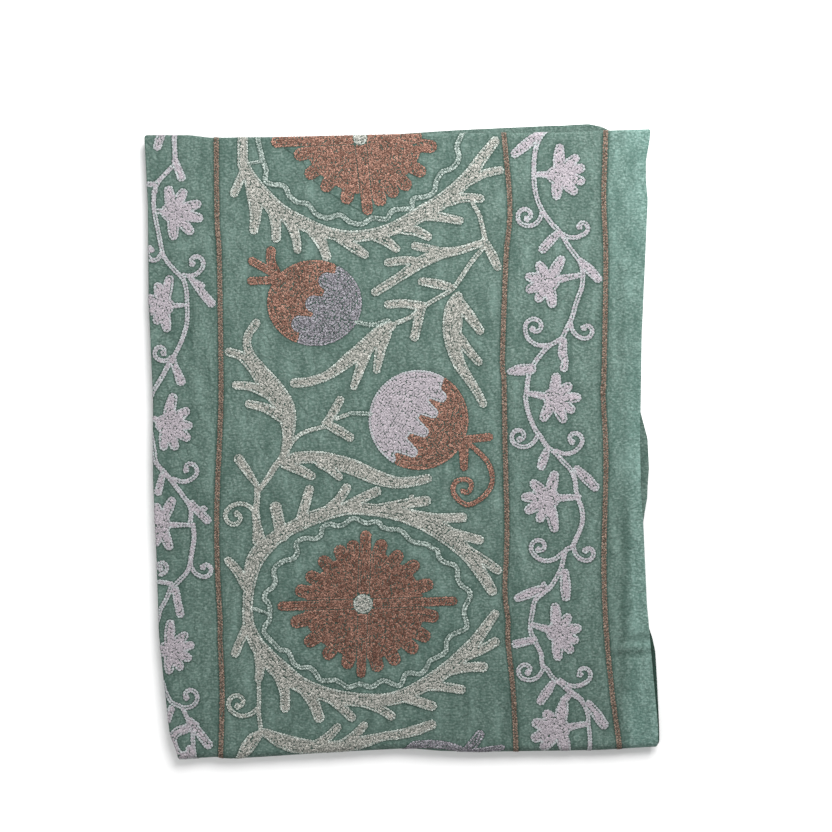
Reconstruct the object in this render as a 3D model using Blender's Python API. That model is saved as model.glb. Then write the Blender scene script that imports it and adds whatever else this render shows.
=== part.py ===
# A length of embroidered cotton, 1.11 m wide, folded in half lengthwise and then in half twice more.
# Metres, +Z up. It lies on the surface z = 0 with its long side along Y and the embroidered face up.
# The whole length is one sheet: two equal grids are laid along the folded path as its two faces.

import math

import bmesh
import bpy
import numpy as np

MM = 0.001

# Driving dimensions of the cloth.
CLOTH_THICKNESS = 0.0012
PLY_PITCH = 0.0022
PANEL_PITCH = 2 * PLY_PITCH
INNER_FOLD_RADIUS = PANEL_PITCH / 2
OUTER_FOLD_RADIUS = 3 * PANEL_PITCH / 2

# Heights of the folded stack. The lowest ply stays flat, and only what lies above it rises and falls.
LOWEST_PANEL = PLY_PITCH / 2 + CLOTH_THICKNESS / 2
STACK_HEIGHT = LOWEST_PANEL + 3 * PANEL_PITCH + PLY_PITCH / 2 + CLOTH_THICKNESS / 2
FLAT_BELOW = 1.5 * CLOTH_THICKNESS
REACH_PAST_FOLD = PLY_PITCH / 2 + CLOTH_THICKNESS / 2

# The inner fold at the near end lies this far inside the outer one that wraps it.
NESTED_FOLD_INSET = 0.004
HIDDEN_PANEL_INSET = 0.0025
# Power that keeps the lower ply's own reach to the last few centimetres before its selvedge.
EDGE_ONLY = 12

# Outline of the top panel, in millimetres from the middle of the cloth, read off the cloth as it lies.
# Long fold on the left: height up the cloth, place of the fold.
LEFT_FOLD = (
    (-367, -259), (-343, -268), (-297, -273), (-228, -280), (-136, -283),
    (-44, -287), (48, -287), (163, -292), (278, -293), (354, -297),
)
# Upper selvedge on the right: height up the cloth, place of the edge.
UPPER_SELVEDGE = (
    (-352, 295), (-297, 290), (-239, 285), (-205, 282), (-113, 278), (-67, 275),
    (-9, 274), (44, 275), (113, 276), (159, 278), (228, 281), (274, 283),
    (297, 281), (320, 281), (343, 285), (361, 287),
)
# How far the lower selvedge stands out past the upper one, negative where it is hidden.
LOWER_SELVEDGE_REACH = (
    (-352, 1.5), (-297, 4), (-262, 5), (-245, 3), (-225, -2), (-170, -4), (-113, -1),
    (-78, 7), (-44, 10), (-9, 9), (20, 1), (60, -8), (361, -14),
)
# Cross fold at the far end: place across the cloth, height of the fold.
FAR_FOLD = (
    (-297, 354), (-244, 354), (-221, 351), (-117, 352), (-37, 354), (55, 356),
    (182, 357), (228, 359), (287, 361),
)
# How far the cut end inside the stack stands out past the far fold.
CUT_END_REACH = (
    (-297, -4), (-40, -4), (0, 1.5), (78, 5), (170, 8.5), (216, 9), (232, 5), (243, -2), (290, -4),
)
# Cross fold at the near end: place across the cloth, height of the fold.
NEAR_FOLD = (
    (-259, -367), (-232, -365), (-215, -364), (-200, -366), (-163, -364), (-117, -361),
    (-71, -358), (-14, -355), (10, -354), (44, -357), (90, -358),
    (159, -357), (228, -356), (295, -352),
)

# Soft ridges and troughs of the upper face: middle, direction, half length, half width and height.
CREASES = (
    {"x": 262, "y": 0, "turn": 89, "long": 420, "wide": 12, "high": -0.7},
    {"x": 262, "y": -248, "turn": 4, "long": 30, "wide": 16, "high": -0.7},
    {"x": 215, "y": -120, "turn": 86, "long": 180, "wide": 40, "high": 1.2},
    {"x": -225, "y": 60, "turn": 92, "long": 230, "wide": 40, "high": 1.0},
    {"x": -110, "y": 210, "turn": 64, "long": 90, "wide": 44, "high": 1.3},
    {"x": 60, "y": 120, "turn": 118, "long": 110, "wide": 46, "high": 1.2},
    {"x": 40, "y": -290, "turn": 12, "long": 120, "wide": 42, "high": 1.2},
    {"x": -60, "y": -60, "turn": 30, "long": 100, "wide": 46, "high": -1.0},
)
CROWN_HEIGHT = 0.0022
CROWN_HALF_WIDTH = 0.260
CROWN_HALF_LENGTH = 0.330

# Where the sheet has its columns of points, from the long fold to the selvedge, and its rows.
STATIONS = (0, 0.04, 0.12, 0.22, 0.33, 0.44, 0.55, 0.66, 0.77, 0.86, 0.915, 0.94, 0.958, 0.976, 1)
FOLD_STEPS = 6
OUTER_FOLD_STEPS = 10
SHOWN_PANEL_STEPS = 22
HIDDEN_PANEL_STEPS = 11


def read_table(table, place):
    """The table's second column at a place in its first, both in metres."""
    rows = np.array(table) * MM
    return float(np.interp(place, rows[:, 0], rows[:, 1]))


def blend(start, end, share):
    return start + (end - start) * share


def legs_along():
    """Legs of the folded path and their steps, from the cut end inside to the one beneath."""
    return (
        ("inner_panel", HIDDEN_PANEL_STEPS),
        ("near_inner_fold", FOLD_STEPS),
        ("middle_panel", HIDDEN_PANEL_STEPS),
        ("far_fold", FOLD_STEPS),
        ("top_panel", SHOWN_PANEL_STEPS),
        ("near_outer_fold", OUTER_FOLD_STEPS),
        ("bottom_panel", HIDDEN_PANEL_STEPS),
    )


def stations_along():
    """Every row of points as its leg and its share of that leg. Neighbouring legs share one row."""
    rows = []
    for leg, steps in legs_along():
        first = 0 if not rows else 1
        rows += [(leg, step / steps) for step in range(first, steps + 1)]
    return rows


def stations_across():
    """Every column of points from the upper selvedge round the long fold to the lower selvedge."""
    columns = [("upper", share) for share in reversed(STATIONS)]
    columns += [("fold", step / FOLD_STEPS) for step in range(1, FOLD_STEPS)]
    columns += [("lower", share) for share in STATIONS]
    return columns


def level_height(level):
    """Height of a panel's middle, counted down from the top panel, which is level 0."""
    return LOWEST_PANEL + (3 - level) * PANEL_PITCH


def nominal_height(leg, share):
    """Roughly how far up the cloth a row lies, to read the side edges' tables."""
    far, near = FAR_FOLD[0][1] * MM, NEAR_FOLD[0][1] * MM
    ends = {
        "inner_panel": (far, near),
        "near_inner_fold": (near, near),
        "middle_panel": (near, far),
        "far_fold": (far, far),
        "top_panel": (far, near),
        "near_outer_fold": (near, near),
        "bottom_panel": (near, far),
    }
    return blend(*ends[leg], share)


def hidden_share(leg, share):
    """0 on the top panel, growing to 1 on the panels beneath, whose edges lie a little further in."""
    if leg == "top_panel":
        return 0.0
    if leg == "far_fold":
        return 0.5 - 0.5 * math.cos(math.pi * (1 - share))
    if leg == "near_outer_fold":
        return 0.5 - 0.5 * math.cos(math.pi * share)
    return 1.0


def place_across(zone, share, leg, along_share, stand):
    """Place across the cloth, and how far to the outer side of the doubled panel's middle the point lies.

    The stand is how far the point is from the middle of its own ply, towards the right side of the cloth.
    """
    height = nominal_height(leg, along_share)
    inset = HIDDEN_PANEL_INSET * hidden_share(leg, along_share)
    fold_middle = read_table(LEFT_FOLD, height) + REACH_PAST_FOLD + inset
    upper_edge = read_table(UPPER_SELVEDGE, height) - 2 * inset
    radius = PLY_PITCH / 2 + stand
    if zone == "upper":
        return blend(fold_middle, upper_edge, share), radius
    if zone == "lower":
        reach = read_table(LOWER_SELVEDGE_REACH, height) * (1 - hidden_share(leg, along_share))
        return blend(fold_middle, upper_edge, share) + reach * share**EDGE_ONLY, -radius
    turn = math.pi * share
    return fold_middle - radius * math.sin(turn), radius * math.cos(turn)


def panel_ends(leg, across):
    """Start and end of a straight leg along Y, for a column that lies at this place across the cloth."""
    far_middle = read_table(FAR_FOLD, across) - INNER_FOLD_RADIUS - REACH_PAST_FOLD
    near_middle = read_table(NEAR_FOLD, across) + OUTER_FOLD_RADIUS + REACH_PAST_FOLD
    nested_middle = near_middle + NESTED_FOLD_INSET
    inner_end = read_table(FAR_FOLD, across) + read_table(CUT_END_REACH, across)
    bottom_end = read_table(FAR_FOLD, across) - 2 * HIDDEN_PANEL_INSET
    return {
        "inner_panel": (inner_end, nested_middle),
        "near_inner_fold": (nested_middle, nested_middle),
        "middle_panel": (nested_middle, far_middle),
        "far_fold": (far_middle, far_middle),
        "top_panel": (far_middle, near_middle),
        "near_outer_fold": (near_middle, near_middle),
        "bottom_panel": (near_middle, bottom_end),
    }[leg]


# Each fold: level of its middle, radius, the side it points to, and which way it turns.
FOLDS = {
    "near_inner_fold": (1.5, INNER_FOLD_RADIUS, -1, 1),
    "far_fold": (0.5, INNER_FOLD_RADIUS, 1, 1),
    "near_outer_fold": (1.5, OUTER_FOLD_RADIUS, -1, -1),
}
PANEL_LEVELS = {"inner_panel": 2, "middle_panel": 1, "top_panel": 0, "bottom_panel": 3}
# Which way a panel's outer side faces: 1 is up.
OUTER_SIDE = {"inner_panel": 1, "middle_panel": -1, "top_panel": 1, "bottom_panel": -1}


def place_along(leg, share, across, outward):
    """Place along Y and height of a point this far outward of its panel, before the soft creases lift it."""
    start, end = panel_ends(leg, across)
    if leg in PANEL_LEVELS:
        return blend(start, end, share), level_height(PANEL_LEVELS[leg]) + OUTER_SIDE[leg] * outward
    level, radius, side, climbs = FOLDS[leg]
    turn = math.pi * share - math.pi / 2
    reach = radius - outward if leg == "near_inner_fold" else radius + outward
    return start + side * reach * math.cos(turn), level_height(level) + climbs * reach * math.sin(turn)


def relief(x, y):
    """How far the upper face stands up at a place: a low crown with the soft creases on it."""
    lift = CROWN_HEIGHT * math.exp(-((x / CROWN_HALF_WIDTH) ** 4) - (y / CROWN_HALF_LENGTH) ** 4)
    for crease in CREASES:
        turn = math.radians(crease["turn"])
        dx, dy = x - crease["x"] * MM, y - crease["y"] * MM
        down_it = (dx * math.cos(turn) + dy * math.sin(turn)) / (crease["long"] * MM)
        off_it = (dy * math.cos(turn) - dx * math.sin(turn)) / (crease["wide"] * MM)
        lift += crease["high"] * MM * math.exp(-(down_it**4) - off_it**2)
    return lift


def lifted(x, y, z):
    """A point of the flat stack raised by its share of the relief, which grows with height."""
    share = max(0.0, z - FLAT_BELOW) / (STACK_HEIGHT - FLAT_BELOW)
    return z + relief(x, y) * share


def folded_point(column, row, stand):
    zone, across_share = column
    leg, along_share = row
    x, outward = place_across(zone, across_share, leg, along_share, stand)
    y, z = place_along(leg, along_share, x, outward)
    return x, y, lifted(x, y, z)


def centre_footprint(mesh):
    """Moves the mesh so that the middle of its footprint is the origin."""
    points = np.array([vertex.co for vertex in mesh.vertices])
    middle = (points.min(axis=0) + points.max(axis=0)) / 2
    for vertex in mesh.vertices:
        vertex.co.x -= middle[0]
        vertex.co.y -= middle[1]


def make_sheet(name):
    """A flat slab of two grids, each point then moved to its place in the folded cloth."""
    columns, rows = stations_across(), stations_along()
    sheet = bmesh.new()
    bmesh.ops.create_grid(sheet, x_segments=len(columns) - 1, y_segments=len(rows) - 1, size=1.0)
    raised = bmesh.ops.extrude_face_region(sheet, geom=sheet.faces, use_keep_orig=True)["geom"]
    outer_face = [item for item in raised if isinstance(item, bmesh.types.BMVert)]
    bmesh.ops.translate(sheet, vec=(0, 0, 1), verts=outer_face)
    bmesh.ops.recalc_face_normals(sheet, faces=sheet.faces)
    for vertex in sheet.verts:
        column = columns[round((vertex.co.x + 1) / 2 * (len(columns) - 1))]
        row = rows[round((vertex.co.y + 1) / 2 * (len(rows) - 1))]
        stand = (vertex.co.z - 0.5) * CLOTH_THICKNESS
        vertex.co = folded_point(column, row, stand)
    mesh = bpy.data.meshes.new(name)
    sheet.to_mesh(mesh)
    sheet.free()
    centre_footprint(mesh)
    mesh.shade_smooth()
    return mesh


def green_cotton():
    material = bpy.data.materials.new("green_cotton")
    material.use_nodes = True
    shader = material.node_tree.nodes["Principled BSDF"]
    shader.inputs["Base Color"].default_value = (0.13, 0.23, 0.17, 1)
    shader.inputs["Roughness"].default_value = 0.9
    shader.inputs["Metallic"].default_value = 0.0
    return material


def clear_scene():
    for obj in list(bpy.data.objects):
        bpy.data.objects.remove(obj)


def main():
    clear_scene()
    collection = bpy.data.collections.new("folded_embroidered_cloth")
    bpy.context.scene.collection.children.link(collection)
    cloth = bpy.data.objects.new("cloth", make_sheet("cloth"))
    collection.objects.link(cloth)
    cloth.data.materials.append(green_cotton())


main()
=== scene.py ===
# %% [markdown]
# # A folded length of embroidered cotton
# The real thing is a furnishing cotton 1.11 m wide and 2.85 m long. It is folded in half lengthwise, so
# that the long fold is on the left and both selvedges are on the right, and then in half twice more across.
# Green cotton carries chain stitch in wool: medallions, fruit and leaf sprays between two flowered borders.
# The packed CAD model is the frame that everything here is built around.

# %% Load the frame
import math

import bmesh
import bpy
import numpy as np
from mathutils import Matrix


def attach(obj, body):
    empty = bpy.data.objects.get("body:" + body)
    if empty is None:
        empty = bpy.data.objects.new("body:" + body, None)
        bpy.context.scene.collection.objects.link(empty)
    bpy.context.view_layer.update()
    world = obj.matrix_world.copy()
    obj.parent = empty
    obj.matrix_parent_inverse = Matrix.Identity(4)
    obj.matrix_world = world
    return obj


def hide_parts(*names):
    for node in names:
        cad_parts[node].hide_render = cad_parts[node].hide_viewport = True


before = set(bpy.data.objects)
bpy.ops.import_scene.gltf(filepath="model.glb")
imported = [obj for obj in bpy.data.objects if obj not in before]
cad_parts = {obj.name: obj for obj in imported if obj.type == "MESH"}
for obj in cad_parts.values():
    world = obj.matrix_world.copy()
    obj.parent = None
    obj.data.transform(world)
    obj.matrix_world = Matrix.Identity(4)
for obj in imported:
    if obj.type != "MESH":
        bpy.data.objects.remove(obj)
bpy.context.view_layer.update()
MM = 0.001

# %% [markdown]
# ## The folded path
# Eight plies lie on each other. A stitch on the top ply has to follow the ply wherever that turns over a
# fold, so the fold is written once, as a function that takes a place charted flat on the top panel and
# gives its place in the folded cloth. The sheet and every stitch go through it. A cloth simulation could
# fold a sheet too, but the folds of a pressed stack are known, and a rule keeps the yarn exactly on the
# cloth. The tables are the CAD part's own, in millimetres from the middle of the cloth.

# %% Sizes of the folded stack
CLOTH_THICKNESS = 0.0012
PLY_PITCH = 0.0022
PANEL_PITCH = 2 * PLY_PITCH
INNER_FOLD_RADIUS = PANEL_PITCH / 2
OUTER_FOLD_RADIUS = 3 * PANEL_PITCH / 2
LOWEST_PANEL = PLY_PITCH / 2 + CLOTH_THICKNESS / 2
STACK_HEIGHT = LOWEST_PANEL + 3 * PANEL_PITCH + PLY_PITCH / 2 + CLOTH_THICKNESS / 2
FLAT_BELOW = 1.5 * CLOTH_THICKNESS
REACH_PAST_FOLD = PLY_PITCH / 2 + CLOTH_THICKNESS / 2
NESTED_FOLD_INSET = 0.004
HIDDEN_PANEL_INSET = 0.0025
EDGE_ONLY = 12
print("eight plies make a stack", round(STACK_HEIGHT / MM, 1), "mm high")


# %% Outline tables
def table(*rows):
    return np.array(rows) * MM


def read(rows, place):
    return np.interp(place, rows[:, 0], rows[:, 1])


LEFT_FOLD = table(
    (-367, -259), (-343, -268), (-297, -273), (-228, -280), (-136, -283),
    (-44, -287), (48, -287), (163, -292), (278, -293), (354, -297))
UPPER_SELVEDGE = table(
    (-352, 295), (-297, 290), (-239, 285), (-205, 282), (-113, 278), (-67, 275), (-9, 274), (44, 275),
    (113, 276), (159, 278), (228, 281), (274, 283), (297, 281), (320, 281), (343, 285), (361, 287))
LOWER_SELVEDGE_REACH = table(
    (-352, 1.5), (-297, 4), (-262, 5), (-245, 3), (-225, -2), (-170, -4), (-113, -1),
    (-78, 7), (-44, 10), (-9, 9), (20, 1), (60, -8), (361, -14))
FAR_FOLD = table(
    (-297, 354), (-244, 354), (-221, 351), (-117, 352), (-37, 354),
    (55, 356), (182, 357), (228, 359), (287, 361))
CUT_END_REACH = table(
    (-297, -4), (-40, -4), (0, 1.5), (78, 5), (170, 8.5), (216, 9), (232, 5), (243, -2), (290, -4))
NEAR_FOLD = table(
    (-259, -367), (-232, -365), (-215, -364), (-200, -366), (-163, -364), (-117, -361), (-71, -358),
    (-14, -355), (10, -354), (44, -357), (90, -358), (159, -357), (228, -356), (295, -352))
print("near fold to far fold:", round((FAR_FOLD[0, 1] - NEAR_FOLD[0, 1]) / MM), "mm at the left")


# %% Levels and middles of the folds
def level_height(level):
    return LOWEST_PANEL + (3 - level) * PANEL_PITCH


def far_middle(x):
    return read(FAR_FOLD, x) - INNER_FOLD_RADIUS - REACH_PAST_FOLD


def near_middle(x):
    return read(NEAR_FOLD, x) + OUTER_FOLD_RADIUS + REACH_PAST_FOLD


print("top panel at", round(level_height(0) / MM, 1), "mm, lowest at", round(level_height(3) / MM, 1), "mm")


# %% [markdown]
# ## Soft creases
# Pressed cloth is never flat. The stack has a low crown, a lengthwise crease in the plain margin, and soft
# ridges where the cloth was folded before. Embroidery also draws the ground in a little, which leaves
# shallow puckers. Each crease is one soft trough or ridge, listed one by one. Noise would put them anywhere.

# %% Soft creases
CREASES = (
    # x, y, turn, half length, half width, height, all in mm and degrees
    (262, 0, 89, 420, 12, -0.7), (262, -248, 4, 30, 16, -0.7), (215, -120, 86, 180, 40, 1.2),
    (-225, 60, 92, 230, 40, 1.0), (-110, 210, 64, 90, 44, 1.3), (60, 120, 118, 110, 46, 1.2),
    (40, -290, 12, 120, 42, 1.2), (-60, -60, 30, 100, 46, -1.0),
)
CROWN_HEIGHT, CROWN_HALF_WIDTH, CROWN_HALF_LENGTH = 0.0022, 0.260, 0.330


def relief(x, y, creases=CREASES):
    """How far the upper face stands up at a place."""
    lift = CROWN_HEIGHT * np.exp(-((x / CROWN_HALF_WIDTH) ** 4) - (y / CROWN_HALF_LENGTH) ** 4)
    for middle_x, middle_y, degrees, half_length, half_width, high in creases:
        turn = math.radians(degrees)
        dx, dy = x - middle_x * MM, y - middle_y * MM
        down_it = (dx * math.cos(turn) + dy * math.sin(turn)) / (half_length * MM)
        off_it = (dy * math.cos(turn) - dx * math.sin(turn)) / (half_width * MM)
        lift = lift + high * MM * np.exp(-(down_it**4) - off_it**2)
    return lift


print("soft creases:", len(CREASES))

# %% [markdown]
# ## Fine creases and puckers
# Between the soft creases the real cloth has short, sharp ones, and the stitching puckers the ground. The
# sheet's points are about 4.6 mm apart on the top ply, close enough to carry them as shape. They could be a
# bump in the finish instead, but a crease that is real shape also moves the stitches that lie across it.
# The puckers are a few crossing waves.

# %% Fine creases and puckers
FINE_CREASES = (
    (254, 60, 91, 250, 5, -0.6), (256, -190, 89, 130, 5, -0.7), (246, -40, 90, 200, 5, 0.6),
    (268, -227, 3, 20, 4.5, -1.4), (262, -245, 6, 24, 4.5, -1.2), (268, -236, 3, 18, 4.5, 0.8),
    (272, 165, 80, 90, 7, 0.7), (264, 280, 86, 60, 6, -0.6),
    (-240, 160, 84, 60, 5, -0.5), (-236, -90, 96, 70, 5, -0.5), (150, 40, 75, 60, 6, -0.5),
    (20, -30, 20, 55, 6, -0.5), (-60, 60, 60, 45, 6, -0.5), (110, 250, 35, 60, 6, -0.5),
    (-95, 110, 60, 28, 5, -0.6), (-75, 98, 100, 26, 5, -0.6), (-118, 118, 20, 26, 5, -0.6),
    (-10, 92, 150, 30, 5, -0.5), (70, 60, 60, 30, 5, -0.5), (40, -110, 80, 30, 5, -0.5),
    (-130, -330, 80, 25, 5, -0.7), (-60, -300, 84, 26, 5, -0.7), (-20, -318, 95, 26, 5, -0.7),
    (30, -322, 86, 24, 5, -0.7), (75, -310, 92, 28, 5, -0.7), (120, -325, 85, 26, 5, -0.7),
    (-150, -60, 88, 30, 5, -0.6), (-95, -150, 60, 26, 5, -0.6), (25, -95, 120, 24, 5, -0.6),
    (-125, 300, 75, 28, 5, -0.6), (70, 320, 110, 26, 5, -0.6), (95, 345, 95, 20, 5, -0.6),
    (175, -325, 85, 30, 5, -0.6),
)
PUCKERS = (
    # waves per metre across and along, start of the wave, height in mm
    (31, 12, 0.3, 0.16), (-19, 27, 1.9, 0.15), (43, -17, 4.1, 0.11), (9, 41, 2.6, 0.12),
    (-37, -33, 5.2, 0.09),
)


def surface_relief(x, y):
    """The CAD part's soft relief, with the finer creases and the puckers that the embroidery draws up."""
    lift = relief(x, y) + relief(x, y, FINE_CREASES) - relief(x, y, ())
    for across, along, start, high in PUCKERS:
        lift = lift + high * MM * np.sin(2 * math.pi * (across * x + along * y) + start)
    return lift


def lifted(x, y, z):
    """Higher plies take more of the relief and the lowest takes none, so no ply crosses another."""
    share = np.maximum(0.0, z - FLAT_BELOW) / (STACK_HEIGHT - FLAT_BELOW)
    return z + surface_relief(x, y) * share


print("fine creases:", len(FINE_CREASES), "and waves:", len(PUCKERS))

# %% [markdown]
# ## The sheet of cotton
# The whole length is one sheet. A flat grid from create_grid is extruded into a slab two faces thick, and
# each point then goes to its row and column of the folded path, with the two faces half a thickness to
# either side. Rows and columns are close on the ply that shows and wide apart on the plies inside. Its UV
# map is the flat cloth in metres, so that the weave follows the cloth round every fold.

# %% Rows and columns of the sheet
UPPER, FOLD, LOWER = 0, 1, 2
UPPER_COLUMNS, FOLD_COLUMNS = 123, 7
LOWER_STATIONS = (0, 0.04, 0.12, 0.22, 0.33, 0.44, 0.55, 0.66, 0.77, 0.86, 0.915, 0.94, 0.958, 0.976, 1)
LEGS = (
    ("inner_panel", 14), ("near_inner_fold", 8), ("middle_panel", 14), ("far_fold", 8),
    ("top_panel", 156), ("near_outer_fold", 14), ("bottom_panel", 14),
)
# Each fold: its level, its radius, the side that it bulges to, then 1 where it climbs, and 1 where the
# cloth's outer face lies on the outside of the bend. Otherwise -1.
FOLDS = {
    "near_inner_fold": (1.5, INNER_FOLD_RADIUS, -1, 1, -1),
    "far_fold": (0.5, INNER_FOLD_RADIUS, 1, 1, 1),
    "near_outer_fold": (1.5, OUTER_FOLD_RADIUS, -1, -1, 1),
}
# Each panel: its level, and 1 where the outer face looks up.
PANELS = {"inner_panel": (2, 1), "middle_panel": (1, -1), "top_panel": (0, 1), "bottom_panel": (3, -1)}
FAR_HEIGHT, NEAR_HEIGHT = FAR_FOLD[0, 1], NEAR_FOLD[0, 1]


def columns_across():
    upper = np.linspace(1, 0, UPPER_COLUMNS)
    turn = np.arange(1, FOLD_COLUMNS + 1) / (FOLD_COLUMNS + 1)
    lower = np.array(LOWER_STATIONS)
    zone = np.repeat([UPPER, FOLD, LOWER], [len(upper), len(turn), len(lower)])
    return zone, np.concatenate([upper, turn, lower])


def rows_along():
    rows = []
    for leg, steps in LEGS:
        rows += [(leg, step / steps) for step in range(0 if not rows else 1, steps + 1)]
    return rows


columns, rows = columns_across(), rows_along()
print("the sheet has", len(rows), "rows and", len(columns[0]), "columns")


# %% How high up the cloth a row lies, and how hidden it is
def nominal_height(leg, share):
    """Roughly how far up the cloth a row lies, to read the side edges' tables."""
    if leg in FOLDS:
        return FAR_HEIGHT if leg == "far_fold" else NEAR_HEIGHT
    runs_down = leg in ("inner_panel", "top_panel")
    start, end = (FAR_HEIGHT, NEAR_HEIGHT) if runs_down else (NEAR_HEIGHT, FAR_HEIGHT)
    return start + (end - start) * share


def hidden_share(leg, share):
    """0 on the top panel and 1 on the panels beneath, whose edges lie a little further in."""
    if leg == "top_panel":
        return 0.0
    if leg == "far_fold":
        return 0.5 + 0.5 * math.cos(math.pi * share)
    if leg == "near_outer_fold":
        return 0.5 - 0.5 * math.cos(math.pi * share)
    return 1.0


print("far fold half way round, hidden share:", round(hidden_share("far_fold", 0.5), 2))


# %% The points of one row
def sheet_row(columns, leg, share, stand):
    """One row of points of the folded sheet, at this stand from the middle of its thickness."""
    zone, across_share = columns
    height, hidden = nominal_height(leg, share), hidden_share(leg, share)
    inset = HIDDEN_PANEL_INSET * hidden
    fold_middle = read(LEFT_FOLD, height) + REACH_PAST_FOLD + inset
    edge = read(UPPER_SELVEDGE, height) - 2 * inset
    radius = PLY_PITCH / 2 + stand
    flat = fold_middle + (edge - fold_middle) * across_share
    reach = read(LOWER_SELVEDGE_REACH, height) * (1 - hidden) * across_share**EDGE_ONLY
    turn = math.pi * across_share
    x = np.select([zone == UPPER, zone == LOWER], [flat, flat + reach], fold_middle - radius * np.sin(turn))
    outward = np.select([zone == UPPER, zone == LOWER], [radius, -radius], radius * np.cos(turn))
    far, near = far_middle(x), near_middle(x)
    if leg in FOLDS:
        level, fold_radius, side, climbs, outside = FOLDS[leg]
        middle = {"near_inner_fold": near + NESTED_FOLD_INSET, "far_fold": far, "near_outer_fold": near}[leg]
        angle = math.pi * share - math.pi / 2
        arc = fold_radius + outside * outward
        y = middle + side * arc * math.cos(angle)
        z = level_height(level) + climbs * arc * math.sin(angle)
    else:
        level, side = PANELS[leg]
        start, end = {
            "inner_panel": (read(FAR_FOLD, x) + read(CUT_END_REACH, x), near + NESTED_FOLD_INSET),
            "middle_panel": (near + NESTED_FOLD_INSET, far),
            "top_panel": (far, near),
            "bottom_panel": (near, read(FAR_FOLD, x) - 2 * HIDDEN_PANEL_INSET),
        }[leg]
        y = start + (end - start) * share
        z = level_height(level) + side * outward
    return np.stack([x, y, lifted(x, y, z)], axis=1)


print("a row of", len(sheet_row(columns, "top_panel", 0.5, 0.0)), "points")

# %% The points of both faces
inner_face = np.array([sheet_row(columns, leg, share, -CLOTH_THICKNESS / 2) for leg, share in rows])
outer_face = np.array([sheet_row(columns, leg, share, CLOTH_THICKNESS / 2) for leg, share in rows])
both_faces = np.concatenate([inner_face.reshape(-1, 3), outer_face.reshape(-1, 3)])
shift = (both_faces.min(0) + both_faces.max(0)) / 2
shift[2] = 0.0
print("both faces:", len(both_faces), "points, centred by", np.round(shift / MM, 2), "mm")


# %% [markdown]
# ## Where a charted place lies on the cloth
# The embroidery is charted in pixels of the view from above: 1 px is 1.15 mm, counted from the middle of
# the cloth. One function takes such a place, with how far it stands off the middle of the cloth's
# thickness, round the long fold on the left and the two cross folds, and says how far round a fold it has
# gone.

# %% From the chart to the cloth
PIXEL = 1.15 * MM
CHART_MIDDLE = (402.0, 442.0)
TOP_FACE = CLOTH_THICKNESS / 2


def from_chart(px, py):
    return (px - CHART_MIDDLE[0]) * PIXEL, (CHART_MIDDLE[1] - py) * PIXEL


def laid_on_cloth(x, y, stand):
    """Where flat places of the top panel lie on the folded cloth, and how far round a fold each is."""
    far, near = far_middle(x), near_middle(x)
    share = np.clip((far - y) / (far - near), 0, 1)
    height = FAR_HEIGHT + (NEAR_HEIGHT - FAR_HEIGHT) * share
    over_far = np.maximum(0, (y - far) / (INNER_FOLD_RADIUS + PLY_PITCH / 2))
    under_near = np.maximum(0, (near - y) / (OUTER_FOLD_RADIUS + PLY_PITCH / 2))
    hidden = 0.5 - 0.5 * np.cos(np.minimum(over_far + under_near, math.pi))
    fold_middle = read(LEFT_FOLD, height) + REACH_PAST_FOLD + HIDDEN_PANEL_INSET * hidden
    under_left = np.maximum(0, (fold_middle - x) / (PLY_PITCH / 2))
    radius = PLY_PITCH / 2 + stand
    across = np.where(under_left > 0, fold_middle - radius * np.sin(under_left), x)
    outward = radius * np.cos(under_left)
    far_arc, near_arc = INNER_FOLD_RADIUS + outward, OUTER_FOLD_RADIUS + outward
    up_it = np.where(over_far > 0, far + far_arc * np.sin(over_far), y)
    up_it = np.where(under_near > 0, near - near_arc * np.sin(under_near), up_it)
    z = level_height(0) + outward
    z = np.where(over_far > 0, level_height(0.5) + far_arc * np.cos(over_far), z)
    z = np.where(under_near > 0, level_height(1.5) + near_arc * np.cos(under_near), z)
    place = np.stack([across, up_it, lifted(across, up_it, z)], axis=-1) - shift
    return place, under_left + over_far + under_near


middle_place, _ = laid_on_cloth(np.zeros(1), np.zeros(1), TOP_FACE)
print("the chart's middle lies at", np.round(middle_place[0] / MM, 1), "mm")

# %% [markdown]
# ## Colours and the cotton's finish
# The cotton is a plain weave with slubs, thick places in the thread, so its colour wavers along both thread
# directions. It is lighter in the plain margin, and painted shade darkens it where stitches draw the ground
# in.
# Painting that by hand would need an image. Here noise stretched along the threads gives the slubs, a weave
# bump gives the surface, and two attributes that the meshes carry say where it is lighter and where the
# painted shade lies.

# %% Paints
def linear(red, green, blue):
    """A colour as the eye reads it, 0 to 255, as the light that it gives back."""
    shares = [c / 255 for c in (red, green, blue)]
    return tuple(((c + 0.055) / 1.055) ** 2.4 if c > 10 / 255 else c / 12.92 for c in shares)


ALBEDO = 0.64


def paint(red, green, blue, strength=1.0):
    return tuple(c * ALBEDO * strength for c in linear(red, green, blue)) + (1,)


print("plain green as paint:", [round(c, 3) for c in paint(100, 126, 117)])


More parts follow.
